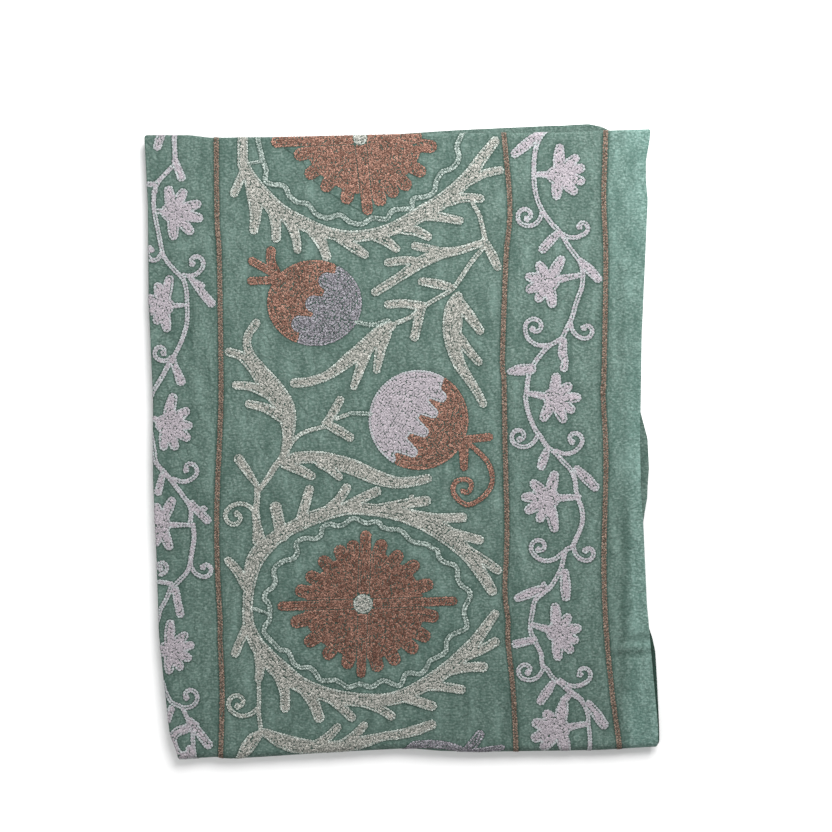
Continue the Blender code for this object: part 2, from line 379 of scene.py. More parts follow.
# %% Short names for nodes
class Nodes:
    """Short names for adding the nodes of one material."""

    def __init__(self, name, roughness, sheen):
        self.material = bpy.data.materials.new(name)
        self.material.use_nodes = True
        self.tree = self.material.node_tree
        self.shader = self.tree.nodes["Principled BSDF"]
        self.shader.inputs["Roughness"].default_value = roughness
        self.shader.inputs["Sheen Weight"].default_value = sheen
        self.shader.inputs["Sheen Roughness"].default_value = 0.5
        self.shader.inputs["Specular IOR Level"].default_value = 0.12

    def add(self, kind, values=None, **settings):
        node = self.tree.nodes.new("ShaderNode" + kind)
        for key, value in settings.items():
            setattr(node, key, value)
        for key, value in (values or {}).items():
            if isinstance(value, bpy.types.NodeSocket):
                self.tree.links.new(value, node.inputs[key])
            else:
                node.inputs[key].default_value = value
        return node

    def noise(self, vector, scale, stretch=(1, 1, 1), detail=2.0):
        mapping = self.add("Mapping", {"Vector": vector, "Scale": stretch})
        noise = self.add("TexNoise", {"Vector": mapping.outputs[0], "Scale": scale, "Detail": detail})
        return noise.outputs["Fac"]

    def spread(self, value, low, high, start=0.0, end=1.0):
        node = self.add("MapRange", {"Value": value, 1: low, 2: high, 3: start, 4: end})
        return node.outputs[0]

    def mix(self, share, first, second, blend="MIX"):
        node = self.add("Mix", data_type="RGBA", blend_type=blend)
        for key, value in ((0, share), (6, first), (7, second)):
            if isinstance(value, bpy.types.NodeSocket):
                self.tree.links.new(value, node.inputs[key])
            else:
                node.inputs[key].default_value = value
        return node.outputs[2]

    def bump(self, height, distance, strength, under=None):
        values = {"Height": height, "Distance": distance, "Strength": strength}
        if under is not None:
            values["Normal"] = under
        return self.add("Bump", values).outputs[0]

    def attribute(self, name):
        return self.add("Attribute", attribute_name=name).outputs["Fac"]

    def finish(self, colour, normal):
        self.tree.links.new(colour, self.shader.inputs["Base Color"])
        self.tree.links.new(normal, self.shader.inputs["Normal"])
        return self.material


print("helpers for nodes:", [name for name in vars(Nodes) if not name.startswith("_")])

# %% The cotton's patterns
MARGIN_LIGHTER = (1.94, 2.12, 2.19, 1)
MOST_SHADE = 1.25
EVEN = (1, 1, 1)
COTTON_NOISES = {
    # pattern: scale, stretch across and along the cloth, detail
    "mottle": (26, EVEN, 3.0),
    "blotch": (75, EVEN, 3.0),
    "warp": (1, (500, 210, 1), 2.0),
    "weft": (1, (240, 480, 1), 2.0),
    "thread": (420, EVEN, 2.0),
    "wander": (1, (78, 52, 1), 2.0),
    "streak": (1, (80, 20, 1), 6.0),
}
COTTON_LAYERS = (
    # pattern, its values from and to, the paint's share at each of them, paint
    ("blotch", 0.4, 0.66, 0, 0.55, (84, 108, 99)),
    ("warp", 0.42, 0.62, 0, 0.5, (74, 98, 90)),
    ("weft", 0.42, 0.62, 0, 0.55, (156, 176, 168)),
    ("thread", 0.42, 0.6, 0, 0.6, (72, 98, 88)),
    # painted shade: the crumple's fold lines, grooves in the bump, are a little darker
    ("crumple", 0.0, 0.5, 0.3, 0, (70, 94, 86)),
    ("streak", 0.52, 0.68, 0, 0.25, (146, 176, 166)),
    ("streak", 0.49, 0.34, 0, 0.4, (66, 94, 85)),
)
GROUND_DARK, GROUND_LIGHT, GROUND_IN_SHADE = (100, 126, 117), (118, 143, 134), (48, 72, 63)
CRUMPLE_WIDTH = 0.09
print("cotton:", len(COTTON_NOISES), "patterns in", len(COTTON_LAYERS), "layers")


# %% Green cotton
def green_cotton():
    n = Nodes("green_cotton", roughness=0.92, sheen=0.06)
    flat = n.add("UVMap", uv_map="flat_cloth").outputs[0]
    pattern = {name: n.noise(flat, *noise) for name, noise in COTTON_NOISES.items()}
    off_middle = n.add("Math", {0: pattern["wander"], 1: 0.5}, operation="SUBTRACT").outputs[0]
    fold = n.add("Math", {0: off_middle}, operation="ABSOLUTE").outputs[0]
    pattern["crumple"] = n.spread(fold, 0.0, CRUMPLE_WIDTH)
    ground = n.mix(n.spread(pattern["mottle"], 0.32, 0.68), paint(*GROUND_DARK), paint(*GROUND_LIGHT))
    for name, low, high, start, end, colour in COTTON_LAYERS:
        ground = n.mix(n.spread(pattern[name], low, high, start, end), ground, paint(*colour))
    # lighter in the plain margin, more towards the selvedge
    ground = n.mix(n.attribute("lightened"), ground, MARGIN_LIGHTER, "MULTIPLY")
    # painted shade: beside the stitching, under the yarn, in the creases and at the lower ply's edge
    ground = n.mix(n.spread(n.attribute("painted_shade"), 0, MOST_SHADE), ground, paint(*GROUND_IN_SHADE))
    weave = n.add("Math", {0: pattern["warp"], 1: pattern["weft"]}, operation="ADD").outputs[0]
    normal = n.bump(weave, 0.0005, 0.5)
    normal = n.bump(pattern["thread"], 0.0005, 0.5, normal)
    normal = n.bump(pattern["crumple"], 0.0007, 0.8, normal)
    return n.finish(ground, normal)


cotton = green_cotton()
print("material", cotton.name)

# %% [markdown]
# ## Making the sheet
# The slab of two grids gets its normals while it is still a plain box, where outside is easy to tell, and
# only then is it folded. The rim is left with a crisp turn, as a cut or woven edge has.

# %% Helpers for pieces
def new_piece(name, mesh, material):
    """An object that rides on the part's one body and takes the given finish."""
    piece = bpy.data.objects.new(name, mesh)
    bpy.context.scene.collection.objects.link(piece)
    mesh.materials.append(material)
    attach(piece, "root")
    return piece


def set_attribute(mesh, name, values):
    attribute = mesh.attributes.new(name, "FLOAT", "POINT")
    attribute.data.foreach_set("value", np.asarray(values, np.float32))


def set_flat_uv(mesh, flat):
    """Gives every corner of every face the flat place of its point."""
    corners = np.empty(len(mesh.loops), np.int32)
    mesh.loops.foreach_get("vertex_index", corners)
    layer = mesh.uv_layers.new(name="flat_cloth")
    layer.data.foreach_set("uv", np.asarray(flat, np.float32)[corners].ravel())


print("every piece rides on root")


# %% Flat places, and where the cotton is lighter
def flat_places(face):
    """Flat place of each point of the folded sheet, from the lengths along its rows and columns."""
    anchor_row = [leg for leg, _ in rows].index("top_panel")
    along = np.linalg.norm(np.diff(face, axis=0), axis=2)
    v = np.concatenate([np.zeros((1, face.shape[1])), np.cumsum(along, axis=0)])
    v = face[anchor_row, :, 1] - (v - v[anchor_row])
    across = np.linalg.norm(np.diff(face, axis=1), axis=2)
    u = np.concatenate([np.zeros((face.shape[0], 1)), np.cumsum(across, axis=1)], axis=1)
    u = face[:, :1, 0] - u
    return np.stack([u, v], axis=2)


# How much lighter the margin is, from 0 to 1, at heights up the cloth in metres.
LIGHTER_BESIDE_STRIPE = ((-0.09, 0.02), (0.02, 0.18), (0.1, 0.08), (0.28, 0.3))
LIGHTER_BESIDE_SELVEDGE = (
    (-0.35, 0.42), (-0.25, 0.24), (-0.18, 0.36), (-0.09, 0.26),
    (0, 0.4), (0.14, 0.2), (0.28, 0.45), (0.355, 0.56))
MARGIN_STARTS, SELVEDGE_STARTS = (0.232, 0.240), (0.252, 0.268)


def lightened_margin(flat):
    """How much lighter the cotton is: only in the margin, more towards the selvedge and at the far end."""
    u, v = flat.T
    beside_stripe = read(np.array(LIGHTER_BESIDE_STRIPE), v)
    beside_selvedge = read(np.array(LIGHTER_BESIDE_SELVEDGE), v)
    outward = np.interp(u, SELVEDGE_STARTS, [0, 1])
    inside_margin = np.interp(u, MARGIN_STARTS, [0, 1])
    return inside_margin * (beside_stripe + (beside_selvedge - beside_stripe) * outward)


flat_of_face = flat_places((inner_face + outer_face) / 2)
print("the sheet lies flat at", np.round(np.ptp(flat_of_face, axis=(0, 1)), 2), "m")

# %% A slab of two grids
sheet = bmesh.new()
bmesh.ops.create_grid(sheet, x_segments=len(columns[0]) - 1, y_segments=len(rows) - 1, size=1.0)
raised = bmesh.ops.extrude_face_region(sheet, geom=sheet.faces, use_keep_orig=True)["geom"]
bmesh.ops.translate(sheet, vec=(0, 0, 1), verts=[g for g in raised if isinstance(g, bmesh.types.BMVert)])
bmesh.ops.recalc_face_normals(sheet, faces=sheet.faces)
cloth_mesh = bpy.data.meshes.new("cloth_sheet")
sheet.to_mesh(cloth_mesh)
sheet.free()
print("slab:", len(cloth_mesh.vertices), "points")

# %% Fold the slab
CRISP_FROM = math.radians(50)
slab = np.empty(len(cloth_mesh.vertices) * 3)
cloth_mesh.vertices.foreach_get("co", slab)
slab = slab.reshape(-1, 3)
column_of = np.rint((slab[:, 0] + 1) / 2 * (len(columns[0]) - 1)).astype(int)
row_of = np.rint((slab[:, 1] + 1) / 2 * (len(rows) - 1)).astype(int)
is_outer = slab[:, 2:] > 0.5
folded = np.where(is_outer, outer_face[row_of, column_of], inner_face[row_of, column_of]) - shift
cloth_mesh.vertices.foreach_set("co", folded.ravel())
flat_of_point = flat_of_face[row_of, column_of]
set_flat_uv(cloth_mesh, flat_of_point)
set_attribute(cloth_mesh, "lightened", lightened_margin(flat_of_point))
set_attribute(cloth_mesh, "painted_shade", np.zeros(len(slab)))
cloth_mesh.update()
cloth_mesh.shade_smooth()
cloth_mesh.set_sharp_from_angle(angle=CRISP_FROM)
cloth = new_piece("cloth_sheet", cloth_mesh, cotton)
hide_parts("cloth")
print("cloth sheet:", len(cloth_mesh.polygons), "faces")

# %% [markdown]
# ## Charting the embroidery
# Chain stitch fills a shape with rows that follow its outline, from the edge inwards. Each motif is charted
# as a few strokes, a line of places with a width, and drawn into a height field on a fine grid: 0 on the
# outline, 1 a row further in, and so on. Strokes that meet take the greater height, so the rows run on from
# stem to leaf. The lines halfway between whole heights are then the rows of stitches. Polygons for each
# leaf would be another way, but the rows would have to be worked out for each.

# %% The grid of the chart
GRID_STEP = 0.5
GRID_LEFT, GRID_TOP = 128.0, 100.0
GRID_COLUMNS, GRID_ROWS = 1080, 1400
ROW_PITCH = 2.3
OUTSIDE = -9.0


def new_field():
    return np.full((GRID_ROWS, GRID_COLUMNS), OUTSIDE, np.float32)


depth_everywhere = new_field()
print("chart grid:", GRID_COLUMNS, "by", GRID_ROWS, "places,", GRID_STEP, "px apart")


# %% Smooth lines and the window of the grid round them
def window(low_x, low_y, high_x, high_y):
    """The part of the grid that this box of the chart covers, and its places."""
    left = max(0, int((low_x - GRID_LEFT) / GRID_STEP))
    right = min(GRID_COLUMNS, int((high_x - GRID_LEFT) / GRID_STEP) + 2)
    top = max(0, int((low_y - GRID_TOP) / GRID_STEP))
    bottom = min(GRID_ROWS, int((high_y - GRID_TOP) / GRID_STEP) + 2)
    x = GRID_LEFT + GRID_STEP * np.arange(left, right)
    y = GRID_TOP + GRID_STEP * np.arange(top, bottom)
    return (slice(top, bottom), slice(left, right)), *np.meshgrid(x, y)


def with_widths(points):
    """Points as rows of x, y and width. A point that names no width takes one from its neighbours."""
    named = [i for i, point in enumerate(points) if len(point) == 3]
    widths = np.interp(range(len(points)), named, [points[i][2] for i in named])
    return np.array([(*point[:2], width) for point, width in zip(points, widths)])


def smooth_line(points, spacing=2.5):
    """A smooth line that passes through all the points, with its width along it."""
    places = with_widths(points)
    padded = np.vstack([2 * places[0] - places[1], places, 2 * places[-1] - places[-2]])
    line = [places[:1]]
    for a, b, c, d in zip(padded, padded[1:], padded[2:], padded[3:]):
        count = max(1, round(math.dist(b[:2], c[:2]) / spacing))
        t = (np.arange(1, count + 1) / count)[:, None]
        curve = 2 * b + (c - a) * t + (2 * a - 5 * b + 4 * c - d) * t**2 + (3 * b - a - 3 * c + d) * t**3
        line.append(curve / 2)
    return np.vstack(line)


print("a line of two points 20 px apart has", len(smooth_line(((0, 0, 5), (20, 0, 5)))), "places")


# %% Strokes
def stroke_depth(points):
    """How deep each place near a stroke is inside it, in pixels of the chart, less than 0 outside."""
    line = smooth_line(points)
    reach = line[:, 2].max() / 2 - OUTSIDE
    low, high = line[:, :2].min(0) - reach, line[:, :2].max(0) + reach
    part, x, y = window(*low, *high)
    depth = np.full(x.shape, OUTSIDE)
    for (ax, ay, aw), (bx, by, bw) in zip(line, line[1:]):
        length = (bx - ax) ** 2 + (by - ay) ** 2 + 1e-9
        share = np.clip(((x - ax) * (bx - ax) + (y - ay) * (by - ay)) / length, 0, 1)
        off = np.hypot(x - ax - share * (bx - ax), y - ay - share * (by - ay))
        depth = np.maximum(depth, (aw + (bw - aw) * share) / 2 - off)
    return part, depth


def rows_across(points):
    """Whole rows of stitches from the outline to the middle of a stroke."""
    return max(1, round(with_widths(points)[:, 2].mean() / (2 * ROW_PITCH)))


def draw(field, points):
    """Adds a stroke to a yarn's field, with a whole number of rows across it."""
    part, depth = stroke_depth(points)
    half = with_widths(points)[:, 2].mean() / 2
    field[part] = np.maximum(field[part], rows_across(points) * depth / half)
    depth_everywhere[part] = np.maximum(depth_everywhere[part], depth)


print("a stroke 15 px wide has", rows_across(((0, 0, 15), (1, 0, 15))), "rows on each side of its middle")

# %% [markdown]
# ## Leaf sprays
# Cream wool draws the two wreaths and the sprays between them. A spray has one spine and short lobes on its
# outer side. Blender's curves could draw them too, but a list of places is shorter and goes straight into
# the height field. The places are listed one by one, and a width stands wherever it changes.

# %% Leaf sprays, charted
CREAM_STROKES = (
    # upper wreath: stalk, spine, then its lobes from left to right
    ((242.5, 133, 11), (242.5, 165, 11)),
    ((243, 163, 12), (246.5, 172, 13), (254, 184, 15), (264, 196, 16), (275, 207, 16), (288, 216, 15.5),
     (303, 223.5, 15), (318, 229.5, 13), (333, 234, 12), (350, 236.5, 12), (368, 235, 12), (386, 231, 13),
     (405, 223, 15), (422, 213, 16), (439, 203, 16), (455, 190, 15), (470, 175, 14), (481, 159, 12),
     (495, 141, 10)),
    ((243, 173, 9), (234, 193, 9)), ((250, 180, 12), (255, 199, 15), (255.5, 215, 11.5), (253.8, 230, 9)),
    ((267, 200, 15), (274, 212, 13), (276, 226, 10.5), (276, 238, 9.5)),
    ((284, 214, 13), (291, 224, 12), (296, 238, 10), (297.5, 250, 8.5)),
    ((311, 227, 14), (319, 238, 13), (323.5, 248, 10.5), (326.5, 256.5, 9.5)),
    ((338, 236, 12), (351, 245, 12), (364.5, 254.5, 9.5)),
    ((374, 235, 12), (386, 241, 11), (396, 248.5, 9)), ((399, 228, 12), (416, 231, 11), (428, 236.5, 9)),
    ((425, 215, 12), (441.5, 217, 10), (459.5, 220.5, 9)),
    ((447, 201, 12), (464, 197.5, 10), (480.4, 198.5, 9)),
    ((470, 180, 11), (484, 173.5, 9), (500, 170, 8.5)),
    # stems and buds between the sprays
    ((472.5, 203, 5), (479.5, 215.5), (483.5, 232), (486.5, 244, 6)),
    ((486.5, 244, 8), (492, 255, 10), (498, 267, 8.5)),
    ((485, 242, 8), (458.5, 250.5, 9), (439, 254, 13), (419, 263.5, 13), (399.5, 277, 10),
     (375.5, 292, 9.5)),
    ((439, 252, 10), (425, 248, 9), (415, 246, 8.5)), ((419, 262, 10), (405, 260.5, 9), (388, 262.5, 8.5)),
    ((485, 246, 5), (472.5, 260.5), (461, 277.5), (452.5, 289), (438.5, 297.5), (421, 308.5),
     (410.5, 317), (394, 324, 5)),
    ((450, 287, 8), (439, 284.5, 10), (422, 281.5, 8.5)),
    ((422, 306.5, 10), (404, 303.5, 9), (388, 304.5, 8.5)),
    ((421, 308, 10), (418.5, 319, 10), (414.6, 337, 9.5)),
    # right spray
    ((457.5, 297, 11), (454, 308.5, 18), (452.5, 324, 20), (453, 342, 17), (459, 363, 13),
     (469.5, 380, 10), (477, 392, 9), (483.3, 403.7, 8.5)),
    ((459, 303, 13), (469.5, 316, 12), (480, 330.6, 9.5)),
    ((458, 338, 13), (469.5, 351.5, 10), (478.6, 362, 8.5)),
    # left spray
    ((285, 450, 8), (288.5, 432, 13), (285, 408, 20), (272, 388, 21), (257, 369, 17), (248.5, 352, 10),
     (247.5, 337, 8.5), (256, 323, 9)),
    ((254, 369, 12), (241, 356, 10), (229, 352, 9.5)), ((270, 394, 13), (252, 387, 10), (236, 385, 9)),
    ((282, 417, 12), (265, 408, 10), (249, 404, 9)),
    # middle spray
    ((391, 326, 10), (381, 332, 14), (368, 345, 17), (350, 359, 14), (329, 374.5, 10), (310, 381.5, 9.5),
     (294.5, 383, 9.5)),
    ((386, 334, 12), (380.5, 350, 11), (376.7, 369.8, 8.5)),
    ((368, 347, 13), (361, 366, 11), (353.8, 386.5, 8)),
    # forked bud and its stems
    ((326, 424, 8), (333, 413, 9), (340, 400, 8.5)), ((326, 423, 9), (337, 429.5, 10), (350, 437.5, 9)),
    ((287, 451, 4.5), (294, 440), (305, 432), (326, 426, 4.5)),
    ((337, 418.5, 4.5), (350, 414), (369, 412.5, 4.5)),
    # fork on the left and the spray above the lower wreath
    ((238.7, 459, 10), (247, 471, 9), (256, 484, 6)),
    ((259, 490, 5), (268, 478), (274, 468), (280, 461), (284, 455), (286.5, 447, 9)),
    ((257, 486, 6), (257, 500, 6), (255.5, 512, 8), (257, 525, 9), (259, 540, 14)),
    ((282, 462.5, 9), (297, 458, 12), (318, 457.5, 13), (338.5, 462.5, 15), (357, 469, 16),
     (375.5, 477, 15), (396, 482.5, 12), (414, 481.5, 10), (427.5, 478.5, 9)),
    ((284, 464, 10), (299, 469.5, 11), (311.5, 476, 9)),
    ((320, 462, 12), (332.5, 470.5, 10), (339, 477, 8.5)),
    # lower wreath, upper half
    ((247.5, 606, 10.5), (249, 587, 12), (253, 565, 17), (262, 550, 18), (278.5, 536, 14),
     (295.5, 526, 14), (318, 516, 15), (346, 509, 13), (374, 510, 13), (399, 514, 15), (422, 521, 18),
     (439, 529.5, 20), (455.5, 542, 18), (469.5, 557, 14), (481, 573, 13), (492, 590.5, 11)),
    ((282, 535, 14), (278.5, 521, 12), (275.6, 507.5, 12)),
    ((300, 525, 13), (304.5, 507, 11), (309.4, 489.5, 10)),
    ((322, 516, 13), (337, 502, 11), (346.5, 488, 10)),
    ((346, 508, 13), (362, 498.5, 11), (376.5, 491.5, 10.5)),
    ((378, 509.5, 12), (405, 504, 11), (426, 501, 11)), ((411.5, 500, 6), (411.5, 497, 6)),
    ((416, 516.5, 13), (438, 518.5, 11), (462.5, 517.5, 10.5)),
    ((444, 532, 13), (464, 536, 10.5), (479.5, 540, 10)),
    ((464, 549, 12), (483, 560, 10.5), (497.5, 570, 10)),
    ((246.5, 587, 11), (238, 572, 10.5), (228.5, 561, 9)),
    # lower wreath, lower half
    ((247.5, 603, 10), (247.5, 613), (249, 626, 12), (256, 643, 15), (267, 657, 18), (281, 671, 20),
     (298, 683.5, 17), (318, 692, 15), (337.5, 697.5, 15), (360, 700, 14), (382.5, 700, 13),
     (399.5, 697, 14), (416, 689.5, 14), (433, 679.5, 15), (450, 667, 15), (464, 654, 15),
     (475.5, 641.5, 13), (486.5, 626, 11), (495, 614, 9)),
    ((246.5, 627, 10), (235, 653.5, 9)), ((259, 650, 12), (260, 668, 10), (258.5, 679, 8.5)),
    ((281, 675, 16), (284.5, 692, 11), (285, 708, 10)),
    ((305, 689, 14), (313.5, 703, 12), (319, 717.5, 11)),
    ((331, 698, 12), (343, 709, 10.5), (351.5, 717.5, 10)),
    ((363, 702, 11), (379, 708.5, 10), (391, 716, 10)),
    ((402, 696.5, 12), (418, 701.5, 11), (431.7, 706, 11)),
    ((424.5, 685, 12), (444, 687, 10), (461.3, 689.5, 10)),
    ((447, 671, 12), (466, 667.5, 10.5), (483, 667, 11)),
    ((464, 656.5, 12), (482, 649.5, 10.5), (495, 642, 10.5)),
    ((258.5, 682, 4.5), (259, 700), (258.5, 712), (260, 724), (261.5, 734, 4.5)),
    # sprays cut off by the near fold
    ((261, 733, 7), (254, 739, 13), (247, 748, 14), (241, 757, 10), (236, 768, 8)),
    ((265, 733, 9), (281, 741, 15), (301, 746.5, 16), (323.5, 748, 13), (346, 746.5, 14),
     (365.5, 741.5, 12), (382.5, 737, 9), (399.5, 734.5, 10), (416, 730.5, 11), (431.5, 725, 10)),
    ((316, 746, 11), (328, 737.5, 10), (337.5, 727.5, 8.5)),
    ((344, 745, 12), (356, 734.5, 10), (364, 725.5, 8.5)),
)
CREAM_SPIRALS = (
    # join, middle, radius, degrees turned from the join inwards, width
    ((254, 511), (235, 517), 13.5, -400, 5.2), ((257, 709), (237.5, 703), 12.5, 430, 5.2),
)
print("leaf sprays:", len(CREAM_STROKES), "strokes and", len(CREAM_SPIRALS), "tendrils")

# %% Tendrils
SPIRAL_PLACES = 22
RUN_IN_SHARE, RUN_IN_POWER = 0.25, 1.6
TIGHTENS = 0.72
TIP_WIDER = 2.5


def spiral(join, middle, radius, degrees, width):
    """A tendril that leaves its stem at the join and winds into a curl."""
    dx, dy = join[0] - middle[0], join[1] - middle[1]
    start, first = math.atan2(dy, dx), math.hypot(dx, dy)
    points = []
    for share in np.linspace(0, 1, SPIRAL_PLACES):
        angle = start + math.radians(degrees) * share
        run_in = (first - radius) * max(0.0, 1 - share / RUN_IN_SHARE) ** RUN_IN_POWER
        reach = radius * (1 - TIGHTENS * share) + run_in
        points.append((middle[0] + reach * math.cos(angle), middle[1] + reach * math.sin(angle), width))
    points[-1] = (*points[-1][:2], width + TIP_WIDER)
    return points


cream = new_field()
for points in CREAM_STROKES:
    draw(cream, points)
for curl in CREAM_SPIRALS:
    draw(cream, spiral(*curl))
print("leaf sprays cover", int((cream > 0).sum() * (GRID_STEP * PIXEL) ** 2 * 1e4), "square cm")

# %% [markdown]
# ## Flowered borders
# A lilac vine winds up each border, with six-petalled flowers, buds and curls. A flower is its petals' tips
# round a middle, with a stalk on the petal-free side. One flower could be copied along the vine, but the
# worked ones all differ, so each has tips of its own. The left border turns under the long fold.

# %% Vines, charted
VINE_STROKES = (
    # right border: the vine
    ((545, 118, 5.6), (547, 128, 5.6), (541, 136), (536.5, 146), (534.5, 158), (534, 172), (534.5, 185),
     (537, 198), (541, 208), (546, 216), (553, 225), (559, 231), (564, 238), (570, 248), (577, 257),
     (581, 264), (583, 275), (582, 287), (579, 295), (575, 307), (572, 318), (566, 330), (562.5, 337.5),
     (555, 342.5), (549, 346), (542.5, 352.5), (536, 361), (531, 370), (528, 379), (527, 389),
     (525.6, 397.5), (527, 407.5), (530.6, 419), (535, 429), (541, 437.5), (547.5, 447), (555, 452.5),
     (562.5, 461), (571, 470), (575, 480), (576, 490), (578.7, 500), (582, 510), (582.5, 521), (580, 530),
     (576, 538.7), (572, 547), (566, 550), (563.7, 557.5), (561, 568.7), (556, 578.7), (550, 587.5),
     (542.5, 593.7), (535, 601), (532.5, 612.5), (530.6, 622.5), (531, 632.5), (536, 643.7), (541, 653.7),
     (542.5, 665), (547.5, 670), (552.5, 677.5), (562.5, 685, 5.6), (571, 692.5, 7), (581, 700, 6),
     (587.5, 712.5, 5), (588.7, 725), (590, 737.5), (590, 750), (588, 772, 5)),
    # right border: buds
    ((541, 132, 6), (528, 143, 11), (515, 153.5, 9)), ((558, 233, 7), (550, 241, 10), (543, 249, 9)),
    ((580, 260, 6), (589, 269, 10), (598, 278.5, 9)),
    ((563.5, 341, 8), (562.5, 353, 9.5), (565, 361, 7.5), (564, 368, 8.5)),
    ((531, 369, 11), (520, 370, 12), (510, 371.5, 7)), ((547, 450, 6), (544, 458, 9.5), (541.5, 466, 9)),
    ((577, 469, 8), (586, 478, 11), (595, 487, 9.5)), ((565, 573, 9), (565.5, 586, 11.5), (566, 597, 9.5)),
    ((545, 588, 8), (531, 593, 10.5), (518, 598, 8.5)), ((543.7, 585, 6), (543.7, 584, 6)),
    ((534, 640, 8), (516, 644, 9)), ((553, 683, 7), (547, 692, 10), (541, 701, 9)),
    ((589, 704, 8), (597, 715, 11), (604, 725, 10)), ((571, 693, 6), (564, 701, 8)),
    # left border: the vine and its buds
    ((161, 134, 9), (157, 146, 9)), ((174, 122, 6), (174, 135, 6), (175, 161, 6)),
    ((175, 161, 7), (181, 177, 9)), ((174, 164, 5), (162, 177), (156, 184), (154.5, 192, 5.5)),
    ((157, 184, 6), (149, 184, 7)),
    ((153.6, 191, 5), (153.6, 206), (155.7, 220), (158.6, 234), (161.4, 248.6), (164, 257), (173, 268.6),
     (181.4, 277), (184, 281), (186.4, 291), (187, 303), (187, 320), (184, 334), (178.6, 347),
     (174, 356, 5)),
    ((172, 359, 9), (172, 361, 9)), ((173, 362, 7), (180.7, 381, 10)),
    ((168.6, 364, 6), (160, 380), (153, 391, 5)), ((153, 391, 5), (149, 405), (150, 425), (154, 451, 5)),
    ((195, 283, 7), (201, 286, 8)), ((190, 278, 5), (200, 290, 8), (211, 303, 9)),
    ((162, 252, 5), (157, 259), (151, 260), (147, 253), (149, 247), (152, 250, 5)),
    ((154, 451, 5.5), (156, 463), (165.7, 474), (173, 483), (181.4, 494), (188.6, 504), (191, 511),
     (190, 525, 5.5)),
    ((162, 476, 7), (158, 492, 8)), ((191, 504, 8), (207, 520, 9)), ((203, 508, 6), (205, 509, 6)),
    ((193, 525, 5.5), (194, 537), (191.7, 553), (188, 570), (178, 582), (171.7, 587, 5.5)),
    ((158, 581.7, 5), (171.7, 584, 5)), ((171, 586, 5), (166.7, 598), (160, 610, 5)),
    ((160, 610, 5), (156, 630), (157, 660), (165, 692, 5)), ((175, 590, 8), (180, 614, 8.5)),
    ((165, 692, 5), (171.7, 703), (181.7, 708), (188, 720), (196.7, 727, 5)),
    ((171.7, 708, 7), (166.7, 722, 7)), ((190, 722, 9), (208, 745, 10)), ((196, 724, 6), (197, 725, 6)),
    ((192, 728, 5), (194, 755), (198, 775, 5)),
    ((186, 729, 10), (176, 733), (172, 742), (178, 755), (188, 756), (190, 750, 10)),
)
VINE_SPIRALS = (
    ((542, 212), (526, 215.5), 12, 440, 5.2), ((560, 232), (582, 227), 9.5, -330, 5.2),
    ((549, 345), (535, 327), 12.5, 440, 5.2), ((571, 324), (586, 330), 11, -330, 5.2),
    ((537, 437), (519.5, 436.5), 11, 440, 5.2), ((556, 451), (574, 439.5), 11.5, -370, 5.2),
    ((562.5, 553), (539.5, 547), 11.5, 450, 5.2), ((574, 548), (587.5, 552.5), 10.5, -330, 5.2),
    ((543, 669), (526, 670.5), 11, 410, 5.2), ((560, 680), (583, 674), 11.5, -350, 5.2),
    ((183, 275), (195, 262.5), 11.5, -330, 5.2), ((171, 358), (161, 352), 9.5, 350, 4.8),
    ((174, 479), (189, 469.5), 11.5, -330, 5.2), ((190.5, 562), (205, 569), 10.5, -340, 5.2),
    ((160, 575), (161, 567), 7, -330, 4.5), ((180, 707), (189, 696.5), 11.5, -330, 5.2),
)
print("vines:", len(VINE_STROKES), "strokes and", len(VINE_SPIRALS), "curls")

# %% Flowers
FLOWERS = (
    # middle, tips, stalk, petal width
    ((558, 175), ((560, 144.5), (577.5, 156), (584, 167), (584, 181.5), (575.8, 193), (556.7, 198)),
     (536, 174), 10),
    ((549, 281), ((562.5, 257), (538.5, 263.5), (527, 276.5), (527.5, 290), (537.5, 300.5),
     (552.5, 306.5)), (580, 275), 10),
    ((554, 398), ((556.5, 374.5), (570, 385), (580, 397.5), (573.5, 411), (564, 421.5), (542.5, 420)),
     (527, 393), 10),
    ((549, 498.5), ((555, 472), (532, 482), (522.5, 497), (526, 511.5), (539, 521), (555, 532)),
     (579, 497), 10),
    ((557, 632), ((555, 604), (569, 616), (580, 628), (577, 641), (571.5, 652), (558, 660)),
     (533, 625), 10),
    ((559, 729), ((564, 702), (546, 713), (534, 723), (533, 739), (543, 749), (567, 753)),
     (587, 724), 10.5),
    ((172, 212), ((168, 187), (184, 190), (200, 203), (202, 218.6), (192, 233), (173.5, 238.5)),
     (156, 211), 10),
    ((163, 306), ((170, 276), (157, 284), (146, 297), (146, 312), (156, 322), (167, 331)), (186, 305), 9.6),
    ((166, 424), ((173.5, 394), (188, 410), (191, 425.7), (189, 439), (175.7, 449), (163, 449)),
     (152, 418), 10),
    ((160, 525), ((173, 498), (156, 505), (146, 518), (146, 532), (155, 545), (170, 549)), (193, 525), 9.6),
    ((169, 650), ((170, 620.5), (186, 634), (193, 645), (190, 659), (181, 669), (169, 673)),
     (157, 650), 9.4),
)
# Widths as shares of the petal width, and how far in from its tip a petal is widest and then narrower.
HALF_WAY_IN, TIP_IN = 0.45, 0.12
AT_MIDDLE, AT_HALF_WAY, AT_STALK, STALK_END, HEART = 1.1, 1.25, 0.5, 0.9, 1.9
HEART_REACH = 2


def flower(field, middle, tips, stalk, petal):
    """Petals that widen towards round tips, the stalk, and enough rows in the middle to join them."""
    for tip in tips:
        half_way = [t + (m - t) * HALF_WAY_IN for t, m in zip(tip, middle)]
        near_tip = [t + (m - t) * TIP_IN for t, m in zip(tip, middle)]
        draw(field, ((*middle, petal * AT_MIDDLE), (*half_way, petal * AT_HALF_WAY), (*near_tip, petal)))
    draw(field, ((*stalk, petal * AT_STALK), (*middle, petal * STALK_END)))
    x, y = middle
    draw(field, ((x - HEART_REACH, y, petal * HEART), (x + HEART_REACH, y, petal * HEART)))


